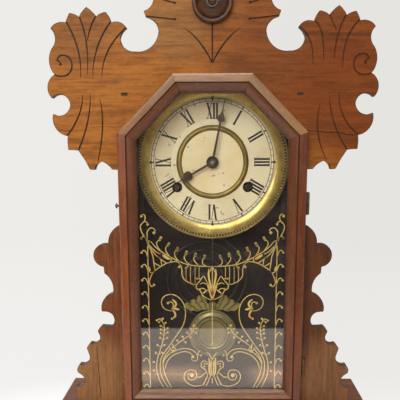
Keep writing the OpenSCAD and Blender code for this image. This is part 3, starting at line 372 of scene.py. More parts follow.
def turned_wood(name, light, dark, centre):
    """Walnut turned on a lathe, darker in the narrow steps round its middle."""
    finish = Finish(name)
    colour, pore, lines = wood_colour(finish, "across", light, dark)
    rings = math_of("SINE", finish.radius(centre) * 2.6)
    colour = mix(colour, srgb(48, 26, 18), step(rings, 0.2, 1.0) * 0.35)
    return finish.surface(colour, 0.36 + pore * 0.12, bump=(lines * 0.3 - pore, 0.2, 0.2), gloss=0.35)


# Metal, paper, glass and gold


def brass(name, tone, tarnish, rough=0.34, amount=0.5, grooves=(), centre=None, grime_and_shade=srgb(50, 40, 22),
          steel_y=None):
    """Aged brass. Grooves are radii and half widths in millimetres that hold dirt, round a centre x and z.
    What lies in front of steel_y is steel."""
    finish = Finish(name)
    broad = finish.cloud(0.045, 4.0, 0.4)
    fine = finish.cloud(0.55, 3.0)
    colour = mix(tone, tarnish, step(broad * 0.7 + fine * 0.3, 0.5 - amount * 0.3, 0.72))
    dirt = step(fine, 0.58, 0.8) * 0.4
    if grooves:
        near = finish.radius(centre)
        for radius, half in grooves:
            dirt = math_of("MAXIMUM", dirt, fall(absolute(near - radius), half * 0.5, half))
    colour = mix(colour, grime_and_shade, dirt)
    if steel_y is not None:
        colour = mix(srgb(58, 50, 44), colour, step(finish.parts()[1], steel_y - 0.5, steel_y))
    rough = rough + (broad - 0.5) * 0.2 + dirt * 0.3
    return finish.surface(colour, rough, 0.8 - dirt * 0.5, (fine, 0.12, 0.2))


def leaf_brass(name, tone, vein):
    """Brass leaves above the bob, with dark veins that spread from its top."""
    finish = Finish(name)
    x, _, z = finish.parts()
    cloud = finish.cloud(0.12, 3.0, 0.6)
    angle = math_of("ARCTAN2", z - (BOB_Z + 14.0), absolute(x))
    ribs = math_of("SINE", angle * 26.0 + cloud * 5.0)
    colour = mix(tone, vein, step(ribs, 0.1, 0.9) * 0.75)
    colour = mix(colour, vein, step(cloud, 0.5, 0.7) * 0.5)
    return finish.surface(colour, 0.45, 0.7, (ribs, 0.2, 0.3))


def metal(name, tone, rust, rough=0.45, metallic=0.85, rust_share=0.5):
    """Steel or iron with patches of rust or bluing."""
    finish = Finish(name)
    broad = finish.cloud(0.09, 4.0)
    fine = finish.cloud(0.9)
    spots = step(broad * 0.65 + fine * 0.35, 0.5, 0.66) * rust_share
    colour = mix(tone, rust, spots)
    return finish.surface(colour, rough + spots * 0.3, metallic - spots * 0.5, (fine, 0.15, 0.15))


def dial_paper(name, paper, warm):
    """Printed paper gone yellow, warmer inside the ring, with brown spots and a worn edge; tin behind."""
    finish = Finish(name)
    x, y, z = finish.parts()
    near = finish.radius(DIAL_MIDDLE)
    cloud = finish.cloud(0.028, 4.0, 0.5)
    colour = mix(paper, srgb(228, 208, 162), step(cloud, 0.42, 0.72) * 0.7)
    warm = mix(warm, srgb(252, 238, 198), step(cloud, 0.4, 0.65) * 0.6)
    colour = mix(warm, colour, step(near, *RING_R))
    shaded = step(x * -0.7 + z * 0.7, 235.0, 305.0) * step(near, *NUMERALS_R)
    colour = mix(colour, srgb(214, 184, 136), shaded * 0.4)
    spot = step(finish.cloud(0.16, 1.0), 0.71, 0.76)
    colour = mix(colour, srgb(160, 118, 70), spot * 0.75)
    colour = mix(colour, srgb(176, 146, 96), step(near, *WORN_R) * 0.6)
    tin = step(y, DIAL_Y + 0.3, DIAL_Y + 0.6)
    colour = mix(colour, srgb(118, 112, 98), tin)
    return finish.surface(colour, 0.62 - tin * 0.15, tin * 0.8, (finish.cloud(0.35, 3.0), 0.1, 0.1))


def ink(name, tone):
    """Printing ink, a little uneven."""
    finish = Finish(name)
    uneven = finish.cloud(0.6, 3.0)
    colour = mix(tone, srgb(60, 44, 32), step(uneven, 0.52, 0.78) * 0.5)
    return finish.surface(colour, 0.55, bump=(uneven, 0.05, 0.05))


def gilding(name, gold, orange):
    """Gold paint on the back of the glass, with warmer places and thin wear."""
    finish = Finish(name)
    fine = finish.cloud(0.8)
    colour = mix(gold, orange, step(finish.cloud(0.05, 3.0), 0.55, 0.68) * 0.75)
    colour = mix(colour, srgb(170, 138, 70), step(fine, 0.55, 0.75) * 0.5)
    return finish.surface(colour, 0.42, 0.25, (fine, 0.1, 0.05))


def window_glass(name, reflection):
    """Clear old glass that lets the light through and mirrors the room faintly, with a few wipe marks."""
    finish = Finish(name)
    smear = finish.cloud((0.02, 0.02, 0.06), 3.0)
    clear = finish.add("ShaderNodeBsdfTransparent", inputs={"Color": (0.99, 0.99, 0.985, 1.0)})
    rough = 0.012 + step(smear, 0.55, 0.8) * 0.03
    gloss = finish.add("ShaderNodeBsdfAnisotropic", inputs={"Color": (1.0,) * 4, "Roughness": rough})
    edge = finish.add("ShaderNodeFresnel", inputs={"IOR": 1.45})
    return finish.done(finish.blend(edge * 0.9 + reflection + smear * 0.01, clear, gloss))


# Meshes

SAME_POINT = 2e-6
FLAT, SHARP = math.radians(0.3), math.radians(28)
SAWN_DEPTH = 4 * MM
HOOP_COUNT = 144


def cover(obj, material):
    obj.data.materials.clear()
    obj.data.materials.append(material)


def coat(material, *nodes):
    """Gives CAD nodes whose shape is right their material."""
    for node in nodes:
        cover(frame["nodes"][node], material)


def give(obj, material, body, slot, *replaced):
    """Puts one material on a piece, and says what it rides on and what it stands for. Its slot is not used.
    """
    cover(obj, material)
    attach(obj, body)
    if replaced:
        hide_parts(*replaced)


def new_piece(name, mesh):
    obj = bpy.data.objects.new(name, mesh)
    bpy.context.scene.collection.objects.link(obj)
    return obj


def mesh_of(shape, name):
    """The mesh of a finished bmesh."""
    mesh = bpy.data.meshes.new(name)
    shape.to_mesh(mesh)
    shape.free()
    return mesh


def smooth(mesh):
    mesh.polygons.foreach_set("use_smooth", [True] * len(mesh.polygons))


def finished_mesh(obj):
    """The mesh of an object with its modifiers worked in and taken off."""
    bpy.context.view_layer.update()
    mesh = bpy.data.meshes.new_from_object(obj.evaluated_get(bpy.context.evaluated_depsgraph_get()))
    obj.modifiers.clear()
    return mesh


def joined_shape(node):
    """A node's loose triangles as one closed shape with whole flat faces."""
    shape = bmesh.new()
    shape.from_mesh(frame["nodes"][node].data)
    bmesh.ops.remove_doubles(shape, verts=shape.verts, dist=SAME_POINT)
    bmesh.ops.dissolve_limit(shape, angle_limit=FLAT, verts=shape.verts, edges=shape.edges)
    return shape


def breadth(face):
    return face.calc_area() / max(edge.calc_length() for edge in face.edges)


def depth_run(face):
    depth = [v.co.y for v in face.verts]
    return max(depth) - min(depth)


def mark_corners(shape, width, sawn, least):
    """Marks the sharp corners that get rounded: on a sawn board those of its outline, away from its carved
    strokes. With least, corners that touch a face narrower than it stay sharp."""
    layer = shape.edges.layers.float.new("bevel_weight_edge")
    wide = {face: breadth(face) > max(2.2 * width, least) for face in shape.faces}
    carved = [v.co for v in shape.verts if any(0.01 * MM < depth_run(f) < SAWN_DEPTH for f in v.link_faces)]
    strokes = KDTree(len(carved))
    for i, place in enumerate(carved):
        strokes.insert(place, i)
    strokes.balance()
    for edge in shape.edges:
        if len(edge.link_faces) != 2 or edge.calc_face_angle_signed(0.0) < SHARP:
            continue
        if sawn:
            fit = max(depth_run(f) for f in edge.link_faces) > SAWN_DEPTH
            fit = fit and not any(strokes.find_range(v.co, 3 * width) for v in edge.verts)
        else:
            fit = all(wide[f] for f in edge.link_faces)
            fit = fit and not (least and any(not wide[f] for v in edge.verts for f in v.link_faces))
        edge[layer] = float(fit)


def dress(node, material, width=0.0, sawn=False, crisp=34.0, least=0.0):
    """A merged copy of a node with softened corners and smooth curves, which stands for it."""
    name = f"{node}_dressed"
    shape = joined_shape(node)
    if width:
        mark_corners(shape, width * MM, sawn, least * MM)
    obj = new_piece(name, mesh_of(shape, name))
    smooth(obj.data)
    if width:
        for _ in range(2):
            obj.data.materials.append(None)
        rounding = obj.modifiers.new("corners", "BEVEL")
        rounding.limit_method = "WEIGHT"
        rounding.width = width * MM
        rounding.segments = 2
        rounding.material = 1
        rounding.use_clamp_overlap = False
        obj.data = finished_mesh(obj)
        smooth(obj.data)
        faces = obj.data.polygons
        # The rounded faces are kept as the corner attribute, on which the wood paints a line of painted
        # shade
        rounded = obj.data.attributes.new("corner", "FLOAT", "FACE")
        rounded.data.foreach_set("value", [float(face.material_index) for face in faces])
        faces.foreach_set("material_index", [0] * len(faces))
    obj.data.set_sharp_from_angle(angle=math.radians(crisp))
    if width:
        obj.modifiers.new("flat faces", "WEIGHTED_NORMAL").keep_sharp = True
        obj.data = finished_mesh(obj)
    obj.data.name = name
    give(obj, material, BODY_OF[node], SLOT_OF[node], node)


def ring_points(count):
    """The cosine and sine of evenly spread angles."""
    return [(math.cos(a), math.sin(a)) for a in np.linspace(0, 2 * math.pi, count, endpoint=False)]


class Relief:
    """Thin flat shapes between two depths, drawn as x and z in millimetres and collected into one mesh."""

    def __init__(self, front_y, back_y):
        self.front = front_y
        self.back = back_y
        self.shape = bmesh.new()

    def row(self, points):
        """New corners at points, each an x and a z and the side that it lies on."""
        return [self.shape.verts.new((x * MM, y * MM, z * MM)) for (x, z), y in points]

    def wall(self, here, there):
        """A closed band of faces between two rows of corners."""
        for k in range(len(here)):
            n = (k + 1) % len(here)
            self.shape.faces.new((here[k], there[k], there[n], here[n]))

    def slab(self, outline):
        """One closed slab. Its outline runs anticlockwise as the viewer sees it."""
        near = self.row((point, self.front) for point in outline)
        far = self.row((point, self.back) for point in outline)
        self.shape.faces.new(near)
        self.shape.faces.new(far[::-1])
        self.wall(near, far)

    def hoop(self, centre, inner, outer):
        """A flat ring round a centre."""
        sides = ((inner, self.front), (outer, self.front), (outer, self.back), (inner, self.back))
        loops = [self.row(((centre[0] + c * r, centre[1] + s * r), y) for c, s in ring_points(HOOP_COUNT))
                 for r, y in sides]
        for here, there in zip(loops, loops[1:] + loops[:1]):
            self.wall(here, there)

    def disc(self, centre, radius, count=14):
        self.slab([(centre[0] + radius * c, centre[1] + radius * s) for c, s in ring_points(count)])

    def stroke(self, points, start, middle_width, end):
        """A ribbon along a line of points, with its widths at the start, in the middle and at the end."""
        p = np.array(points, float)
        way = np.gradient(p, axis=0)
        way /= np.maximum(np.linalg.norm(way, axis=1, keepdims=True), 1e-9)
        widths = [start, middle_width, middle_width, middle_width, end]
        width = np.interp(np.linspace(0, 1, len(p)), [0, 0.18, 0.5, 0.82, 1], widths) / 2
        side = np.stack([-way[:, 1], way[:, 0]], 1) * width[:, None]
        rows = [self.row(((left, self.front), (right, self.front), (right, self.back), (left, self.back)))
                for left, right in zip(p + side, p - side)]
        self.shape.faces.new(rows[0])
        self.shape.faces.new(rows[-1][::-1])
        for here, there in zip(rows, rows[1:]):
            self.wall(here, there)

    def mesh(self, name):
        bmesh.ops.recalc_face_normals(self.shape, faces=self.shape.faces)
        return mesh_of(self.shape, name)


def smooth_line(points, spacing=1.6):
    """Points of a smooth curve through the given ones."""
    p = np.array(points, float)
    if len(p) == 2:
        return p
    ends = np.vstack([2 * p[0] - p[1], p, 2 * p[-1] - p[-2]])
    out = []
    for i in range(1, len(ends) - 2):
        a, b, c, d = ends[i - 1:i + 3]
        count = max(2, int(np.linalg.norm(c - b) / spacing))
        for t in np.linspace(0, 1, count, endpoint=False):
            out.append(0.5 * (2 * b + (c - a) * t + (2 * a - 5 * b + 4 * c - d) * t * t
                              + (3 * b - a - 3 * c + d) * t ** 3))
    return np.array([*out, p[-1]])


# Copies in a ring or a row


def copies_tree():
    """Geometry nodes that repeat a shape: each copy moves by a step and turns about Y by an angle more."""
    tree = bpy.data.node_groups.new("Copies", "GeometryNodeTree")
    for name, kind in (("Geometry", "Geometry"), ("Count", "Int"), ("Centre", "Vector"), ("Step", "Vector"),
                       ("Turn", "Float"), ("Finish", "Material")):
        tree.interface.new_socket(name=name, in_out="INPUT", socket_type=f"NodeSocket{kind}")
    tree.interface.new_socket(name="Geometry", in_out="OUTPUT", socket_type="NodeSocketGeometry")
    kinds = {"given": "NodeGroupInput", "result": "NodeGroupOutput", "points": "GeometryNodePoints",
             "index": "GeometryNodeInputIndex", "shift": "ShaderNodeVectorMath", "angle": "ShaderNodeMath",
             "euler": "ShaderNodeCombineXYZ", "copies": "GeometryNodeInstanceOnPoints",
             "real": "GeometryNodeRealizeInstances", "finish": "GeometryNodeSetMaterial"}
    nodes = {name: tree.nodes.new(kind) for name, kind in kinds.items()}
    nodes["shift"].operation = "MULTIPLY_ADD"
    nodes["angle"].operation = "MULTIPLY"
    for source, output, target, socket in (
            ("index", 0, "shift", 0), ("given", "Step", "shift", 1), ("given", "Centre", "shift", 2),
            ("given", "Count", "points", "Count"), ("shift", 0, "points", "Position"),
            ("index", 0, "angle", 0), ("given", "Turn", "angle", 1), ("angle", 0, "euler", "Y"),
            ("points", 0, "copies", "Points"), ("given", "Geometry", "copies", "Instance"),
            ("euler", 0, "copies", "Rotation"), ("copies", 0, "real", 0), ("real", 0, "finish", "Geometry"),
            ("given", "Finish", "finish", "Material"), ("finish", 0, "result", 0)):
        tree.links.new(nodes[source].outputs[output], nodes[target].inputs[socket])
    return tree


def repeated(name, mesh, material, slot, body="case", **values):
    """A piece of equal copies of a mesh. Its values are the tree's Count, Centre, Step and Turn."""
    tree = bpy.data.node_groups.get("Copies") or copies_tree()
    maker = new_piece(f"{name}_maker", mesh)
    modifier = maker.modifiers.new("copies", "NODES")
    modifier.node_group = tree
    values["Finish"] = material
    for item in tree.interface.items_tree:
        if item.in_out == "INPUT" and item.name in values:
            modifier[item.identifier] = values[item.name]
    piece = new_piece(name, finished_mesh(maker))
    piece.data.name = name
    bpy.data.objects.remove(maker)
    give(piece, material, body, slot)
    return piece


# Sizes and colours that a user would change


def shade(name, description, red, green, blue):
    return bpy.props.FloatVectorProperty(name=name, description=description, subtype="COLOR", size=3,
                                         min=0.0, max=1.0, default=srgb(red, green, blue)[:3])


def length(name, description, default, least, most):
    """A size, given here in millimetres."""
    return bpy.props.FloatProperty(name=name, description=description, unit="LENGTH", default=default * MM,
                                   min=least * MM, max=most * MM)


def level(name, description, default, most):
    return bpy.props.FloatProperty(name=name, description=description, default=default, min=0.0, max=most)


class WoodSettings(bpy.types.PropertyGroup):
    crest: shade("Crest", "Light walnut of the crest board", 150, 90, 27)
    crest_dark: shade("Crest figure", "Darker figure of the crest board", 112, 64, 19)
    frame: shade("Door", "Light walnut of the door and the base", 102, 52, 20)
    frame_dark: shade("Base figure", "Darker figure of the base", 70, 34, 14)
    # Painted sheen: the upper bars are paler where they catch the light from above
    sheen: shade("Door's upper bars", "Paler walnut of the door's upper and lower bars", 134, 94, 58)
    # On the right wing this darker walnut is partly painted shade; on the case sides it is their own tone
    side: shade("Right wing", "Walnut of the right wing and the case sides", 82, 43, 18)
    side_dark: shade("Right wing figure", "Darker figure of the right wing", 58, 31, 16)
    # The inside tone is dark bare wood with painted shade over it
    inside: shade("Inside", "Wood inside the case, black with age", 34, 24, 22)
    corner: length("Corner rounding", "Rounding of the worn corners", 0.7, 0.1, 1.0)


class BrassSettings(bpy.types.PropertyGroup):
    bright: shade("Brass", "Brass where it is rubbed bright", 226, 197, 112)
    tarnish: shade("Tarnish", "Brass that has gone dull", 172, 144, 76)
    dull: shade("Bob brass", "Dull brass of the pendulum bob", 150, 138, 92)
    beads: bpy.props.IntProperty(name="Bezel beads", description="Beads round the bezel", default=150,
                                 min=60, max=240)
    bead: length("Bead size", "Radius of one bead of the bezel", 0.95, 0.4, 1.4)


class DialSettings(bpy.types.PropertyGroup):
    paper: shade("Paper", "Paper of the hour ring", 246, 231, 188)
    paper_middle: shade("Middle", "Warmer paper inside the brass ring", 246, 222, 168)
    ink: shade("Ink", "Printed numerals and minute track", 30, 18, 14)
    steel: shade("Hands", "Blued steel of the hands", 66, 48, 36)


class GlassSettings(bpy.types.PropertyGroup):
    gold: shade("Gold", "Gold paint on the glass", 222, 192, 108)
    orange: shade("Warm gold", "Warmer places of the gold paint", 222, 150, 54)
    line: length("Line width", "Width of the painted lines", 1.1, 0.5, 2.0)
    reflection: level("Reflection", "Share of light that one face mirrors", 0.04, 0.3)


class StageSettings(bpy.types.PropertyGroup):
    backdrop: shade("Room", "Colour of the even light all round", 244, 243, 240)
    near_left: shade("Floor left", "Floor beside the clock at the left", 241, 240, 238)
    near_right: shade("Floor right", "Floor beside the clock at the right", 235, 234, 231)
    far_left: shade("Backdrop left", "Backdrop at the left", 237, 236, 232)
    far_right: shade("Backdrop right", "Backdrop at the right", 229, 228, 224)
    table: shade("Table", "Warm tone that the glass and the brass mirror", 232, 218, 204)
    key: level("Key light", "Power of the light at the upper left", 62.0, 200.0)
    fill: level("Fill light", "Power of the light at the right", 6.0, 200.0)
    top: level("Top light", "Power of the light above", 30.0, 200.0)
    rear: level("Rear light", "Power of the light behind at the left", 36.0, 200.0)
    room: level("Room light", "Strength of the even light all round", 0.3, 2.0)


SETTINGS = {"clock_wood": WoodSettings, "clock_brass": BrassSettings, "clock_dial": DialSettings,
            "clock_glass": GlassSettings, "clock_stage": StageSettings}


def tones(context, group, *names):
    """Colours of a settings group as four numbers each."""
    return [(*getattr(getattr(context.scene, group), name)[:3], 1.0) for name in names]


# Pieces


class CLOCK_OT_crest(bpy.types.Operator):
    """Crest board, rosette and wings"""

    bl_idname = "clock.crest"
    bl_label = "Crest and wings"

    def execute(self, context):
        light, dark, side, side_dark = tones(context, "clock_wood", "crest", "crest_dark", "side",
                                             "side_dark")
        corner = context.scene.clock_wood.corner / MM
        # Shares of painted shade in the carved strokes, at the left and at the right
        grime_and_shade = (0.9, 0.55)
        # The first two patches darken the right of the crest: partly redder wood, partly painted shade away
        # from the light at the left
        patches = [((90.0, 470.0), 120.0, srgb(112, 58, 18), 0.9),
                   ((178.0, 430.0), 130.0, srgb(108, 51, 11), 0.9),
                   ((-150.0, 500.0), 60.0, srgb(122, 74, 32), 0.6),
                   ((-40.0, 502.0), 50.0, srgb(126, 88, 46), 0.6)]
        cracks = [((105.5, 388.3), (165.6, 383.0), 0.9, 0.9), ((97.0, 492.5), (180.0, 491.0), 3.0, 0.4)]
        dress("crest_board", wood("crest_walnut", "across", light, dark, 14.0, 0.12, grime_and_shade, patches, cracks),
              corner, sawn=True)
        # The left wing's lighter tones are painted light from the left; its patch makes it lighter towards
        # the foot
        left = wood("left_wing_walnut", "upright", srgb(112, 59, 25), srgb(82, 42, 17), 3.0, carved=grime_and_shade,
                    patches=[((-150.0, 90.0), 75.0, srgb(134, 92, 54), 0.9)],
                    cracks=[((-142.5, 133.0), (-139.5, 62.0), 0.7, 0.85)])
        dress("left_wing", left, corner, sawn=True)
        # The right wing's darker side tones are partly painted shade, on the side away from the light
        right = wood("right_wing_walnut", "upright", side, side_dark, seed=31.0, carved=grime_and_shade,
                     patches=[((150.0, 90.0), 75.0, srgb(120, 79, 48), 0.85)])
        dress("right_wing", right, corner, sawn=True)
        turned = turned_wood("turned_walnut", srgb(78, 43, 15), srgb(47, 26, 10),
                             (0.0, middle("crest_rosette")))
        dress("crest_rosette", turned, crisp=30.0)
        return {"FINISHED"}


class CLOCK_OT_case(bpy.types.Operator):
    """Case boards, back board and base"""

    bl_idname = "clock.case"
    bl_label = "Case and base"

    def execute(self, context):
        light, dark, side, side_dark, inside = tones(context, "clock_wood", "frame", "frame_dark", "side",
                                                     "side_dark", "inside")
        corner = context.scene.clock_wood.corner / MM
        upright = case_wood("case_walnut_upright", "upright", side, side_dark, inside)
        across = case_wood("case_walnut_across", "across", side, side_dark, inside)
        for node in ("left_side_board", "right_side_board"):
            dress(node, upright, corner, least=6.0)
        coat(upright, "back_board", "dial_battens")
        coat(across, "case_top_board", "case_bottom_board", "base_back_rail")
        dress("base_top_board", wood("base_top_walnut", "across", light, dark, seed=7.0), corner)
        dress("base_front_moulding", wood("base_moulding_walnut", "across", side, side_dark, seed=19.0), 0.4)
        deep = wood("base_side_walnut", "deep", side, side_dark, seed=23.0)
        for node in ("base_left_moulding", "base_right_moulding"):
            dress(node, deep, 0.4)
        coat(metal("nail_iron", srgb(38, 26, 20), srgb(60, 34, 22), rough=0.7, metallic=0.2), "case_nails")
        return {"FINISHED"}


class CLOCK_OT_door(bpy.types.Operator):
    """Door frame, its glass and its strips"""

    bl_idname = "clock.door"
    bl_label = "Door"

    def execute(self, context):
        pale, plain, side, side_dark = tones(context, "clock_wood", "sheen", "frame", "side", "side_dark")
        foot = DOOR_FOOT_Z + DOOR_SIDE
        # The pale tone on the top rail and the right diagonal is painted sheen from the light above
        bars = {"left_stile": ("upright", 2.0, (-1, 0), OCTAGON_Z, srgb(122, 62, 26), plain, 0.5),
                "right_stile": ("upright", 44.0, (1, 0), OCTAGON_Z, srgb(98, 48, 22), plain, 0.4),
                "bottom_rail": ("across", 9.0, (0, -1), foot, srgb(122, 68, 34), srgb(116, 74, 42), 0.25),
                "top_rail": ("across", 27.0, (0, 1), OCTAGON_Z, pale, srgb(96, 54, 30), 0.45),
                "left_diagonal": ("rising", 5.0, (-SLANT, SLANT), OCTAGON_Z, srgb(126, 80, 38), plain, 0.4),
                "right_diagonal": ("falling", 12.0, (SLANT, SLANT), OCTAGON_Z, pale, plain, 0.5)}
        for bar, look in bars.items():
            dress(f"door_{bar}", bar_wood(f"door_{bar}_walnut", *look), 0.35)
        coat(wood("strip_walnut", "upright", side, side_dark), "glazing_strips")
        coat(window_glass("old_glass", context.scene.clock_glass.reflection), "door_glass")
        return {"FINISHED"}


class CLOCK_OT_hardware(bpy.types.Operator):
    """Hinges, catch and their screws"""

    bl_idname = "clock.hardware"
    bl_label = "Hinges and catch"

    def execute(self, context):
        plain = brass("hinge_brass", srgb(118, 94, 54), srgb(66, 52, 34), rough=0.5)
        for node in ("hinge_case_leaves", "hinge_door_leaves", "hinge_pins", "latch_pin", "latch_screw"):
            dress(node, plain)
        dress("latch_hook", plain, 0.15)
        coat(plain, "case_hinge_screws", "door_hinge_screws")
        return {"FINISHED"}


class CLOCK_OT_dial(bpy.types.Operator):
    """Dial paper, bezel with its beads, centre ring and winding grommets"""

    bl_idname = "clock.dial"
    bl_label = "Dial"

    def execute(self, context):
        bright, tarnish = tones(context, "clock_brass", "bright", "tarnish")
        dress("dial_pan", dial_paper("dial_paper", *tones(context, "clock_dial", "paper", "paper_middle")))
        rim = brass("bezel_brass", bright, tarnish, 0.3, grooves=[(BEZEL_R - 3.9, 1.7)], centre=DIAL_MIDDLE)
        dress("dial_bezel", rim, crisp=40.0)
        ring = brass("ring_brass", tarnish, srgb(128, 110, 56), 0.5, grooves=[(37.3, 0.5), (43.3, 0.5)],
                     centre=DIAL_MIDDLE)
        dress("dial_centre_ring", ring)
        dress("winding_grommets", metal("grommet_steel", srgb(34, 28, 24), srgb(62, 46, 30), rough=0.42))
        coat(brass("nail_brass", bright, tarnish), "dial_nails")
        self.beads(context.scene.clock_brass)
        return {"FINISHED"}

    def beads(self, settings):
        """A row of small beads on the crown of the bezel."""
        shape = bmesh.new()
        bmesh.ops.create_uvsphere(shape, u_segments=8, v_segments=6, radius=settings.bead)
        crown = (0, (BEZEL_FRONT_Y + 0.75) * MM, (BEZEL_R - 4.0) * MM)
        bmesh.ops.translate(shape, verts=shape.verts, vec=crown)
        finish = brass("bead_brass", srgb(238, 216, 140), srgb(190, 160, 92), rough=0.42, amount=0.2)
        piece = repeated("bezel_beads", mesh_of(shape, "bead"), finish, "brass", Count=settings.beads,
                         Centre=(0, 0, DIAL_Z * MM), Turn=2 * math.pi / settings.beads)
        smooth(piece.data)


PRINT_DEPTHS = (DIAL_Y - 0.07, DIAL_Y - 0.01)
THICK, THIN, SERIF = 2.35, 0.8, 0.7
SERIF_HALF = 1.75
NUMERAL_FOOT, NUMERAL_TOP = 50.5, 68.5
NUMERALS = ["XII", "I", "II", "III", "IIII", "V", "VI", "VII", "VIII", "IX", "X", "XI"]
TRACK_RADII, TRACK_HALF = (70.6, 73.8), 0.34
DOT_RADIUS, DOT_R = 74.4, 1.7
# Each letter's width, its strokes as (foot x, top x, width), and its serifs' places at the foot and the top
LETTERS = {"I": (3.6, [(0, 0, THICK)], [0], [0]),
           "V": (7.2, [(0, -2.5, THICK), (0.3, 2.6, THIN)], [], [-2.5, 2.6]),
           "X": (7.2, [(2.3, -2.3, THICK), (-2.4, 2.4, THIN)], [-2.4, 2.3], [-2.3, 2.4])}


def draw_numeral(relief, text, angle):
    """One Roman numeral with its foot towards the middle of the dial."""
    c, s = math.cos(angle), math.sin(angle)

    def bar(foot, top, half, near, far):
        ends = [(foot - half, near), (foot + half, near), (top + half, far), (top - half, far)]
        relief.slab([(x * c + z * s, DIAL_Z - x * s + z * c) for x, z in ends])

    left = -sum(LETTERS[letter][0] for letter in text) / 2
    for letter in text:
        width, strokes, feet, tops = LETTERS[letter]
        mid = left + width / 2
        for foot, top, thick in strokes:
            bar(mid + foot, mid + top, thick / 2, NUMERAL_FOOT, NUMERAL_TOP)
        for ends, height in ((feet, NUMERAL_FOOT), (tops, NUMERAL_TOP)):
            for x in ends:
                bar(mid + x, mid + x, SERIF_HALF, height - SERIF / 2, height + SERIF / 2)
        left += width


class CLOCK_OT_print(bpy.types.Operator):
    """Roman numerals and the minute track printed on the dial"""

    bl_idname = "clock.print"
    bl_label = "Dial print"

    def execute(self, context):
        black = ink("printing_ink", *tones(context, "clock_dial", "ink"))
        front, back = PRINT_DEPTHS
        relief = Relief(front, back)
        for hour, text in enumerate(NUMERALS):
            draw_numeral(relief, text, math.radians(30 * hour))
        for radius in TRACK_RADII:
            relief.hoop(DIAL_MIDDLE, radius - TRACK_HALF, radius + TRACK_HALF)
        give(new_piece("dial_numerals", relief.mesh("dial_numerals")), black, "case", "dial_paper")
        for name, count, half, inner, outer in (("minute_ticks", 60, 0.27, 70.8, 73.6),
                                                ("hour_marks", 12, 0.8, 70.9, 74.3)):
            relief = Relief(front - 0.01, back)
            relief.slab([(-half, inner), (half, inner), (half, outer), (-half, outer)])
            repeated(name, relief.mesh(name), black, "dial_paper", Count=count, Centre=(0, 0, DIAL_Z * MM),
                     Turn=2 * math.pi / count)
        dots = Relief(front - 0.015, back)
        for angle in map(math.radians, (0, 90, 180, 270)):
            dots.disc((DOT_RADIUS * math.sin(angle), DIAL_Z + DOT_RADIUS * math.cos(angle)), DOT_R, 18)
        give(new_piece("quarter_dots", dots.mesh("quarter_dots")), black, "case", "dial_paper")
        return {"FINISHED"}


class CLOCK_OT_hands(bpy.types.Operator):
    """Hands, centre arbor and its pin"""

    bl_idname = "clock.hands"
    bl_label = "Hands"

    def execute(self, context):
        blued = metal("blued_steel", *tones(context, "clock_dial", "steel"), srgb(96, 66, 44), rough=0.34,
                      metallic=0.7, rust_share=0.6)
        dress("minute_hand", blued, 0.12)
        dress("hour_hand", blued, 0.12)
        dress("centre_arbor", metal("arbor_steel", srgb(150, 144, 134), srgb(110, 88, 66)))
        dress("hand_pin", brass("pin_brass", srgb(128, 118, 96), srgb(84, 72, 52), rough=0.45))
        return {"FINISHED"}


class CLOCK_OT_movement(bpy.types.Operator):
    """Movement behind the dial"""

    bl_idname = "clock.movement"
    bl_label = "Movement"

    def execute(self, context):
        aged = (*tones(context, "clock_brass", "tarnish"), srgb(100, 82, 44), 0.4)
        coat(brass("plate_brass", *aged), "movement_front_plate", "movement_back_plate", "minute_wheel",
             "hour_wheel", "escape_wheel", "suspension_post")
        coat(brass("wheel_brass", *aged, steel_y=low("movement_front_plate", "y")), "time_main_wheel",
             "strike_main_wheel")
        coat(metal("movement_steel", srgb(132, 128, 120), srgb(98, 72, 50)), "plate_pillars",
             "movement_screws", "verge")
        coat(metal("spring_steel", srgb(58, 56, 58), srgb(80, 62, 50), rough=0.3), "mainsprings")
        dress("strike_hammer", metal("hammer_steel", srgb(64, 60, 56), srgb(70, 54, 42), rough=0.6))
        return {"FINISHED"}


class CLOCK_OT_gong(bpy.types.Operator):
    """Coiled wire gong and its base"""

    bl_idname = "clock.gong"
    bl_label = "Gong"

    def execute(self, context):
        dress("gong_coil", metal("gong_steel", srgb(84, 84, 76), srgb(78, 64, 50), rough=0.42), crisp=80.0)
        dress("gong_base", metal("gong_iron", srgb(48, 45, 44), srgb(76, 56, 44), rough=0.6, metallic=0.5))
        return {"FINISHED"}


class CLOCK_OT_pendulum(bpy.types.Operator):
    """Pendulum rod, bob, its ornament and the rating nut"""

    bl_idname = "clock.pendulum"
    bl_label = "Pendulum"

    def execute(self, context):
        rim = half_width("pendulum_bob")
        dull = brass("bob_brass", *tones(context, "clock_brass", "dull"), srgb(104, 98, 66), rough=0.38,
                     grooves=[(rim - 2.6, 0.8), (rim - 9.0, 1.2), (rim - 13.2, 1.0)], centre=(0.0, BOB_Z),
                     grime_and_shade=srgb(96, 84, 54))
        dress("pendulum_bob", dull, crisp=50.0)
        dress("bob_ornament", leaf_brass("leaf_brass", srgb(156, 142, 80), srgb(84, 76, 40)), 0.25)
        dress("rating_nut", brass("nut_brass", srgb(150, 134, 78), srgb(104, 92, 54), rough=0.42), 0.3)
        dress("pendulum_rod", metal("rod_steel", srgb(128, 122, 112), srgb(104, 78, 54)), crisp=60.0)
        return {"FINISHED"}


# Gilding, as distances from the middle line and heights, in millimetres, drawn on both sides

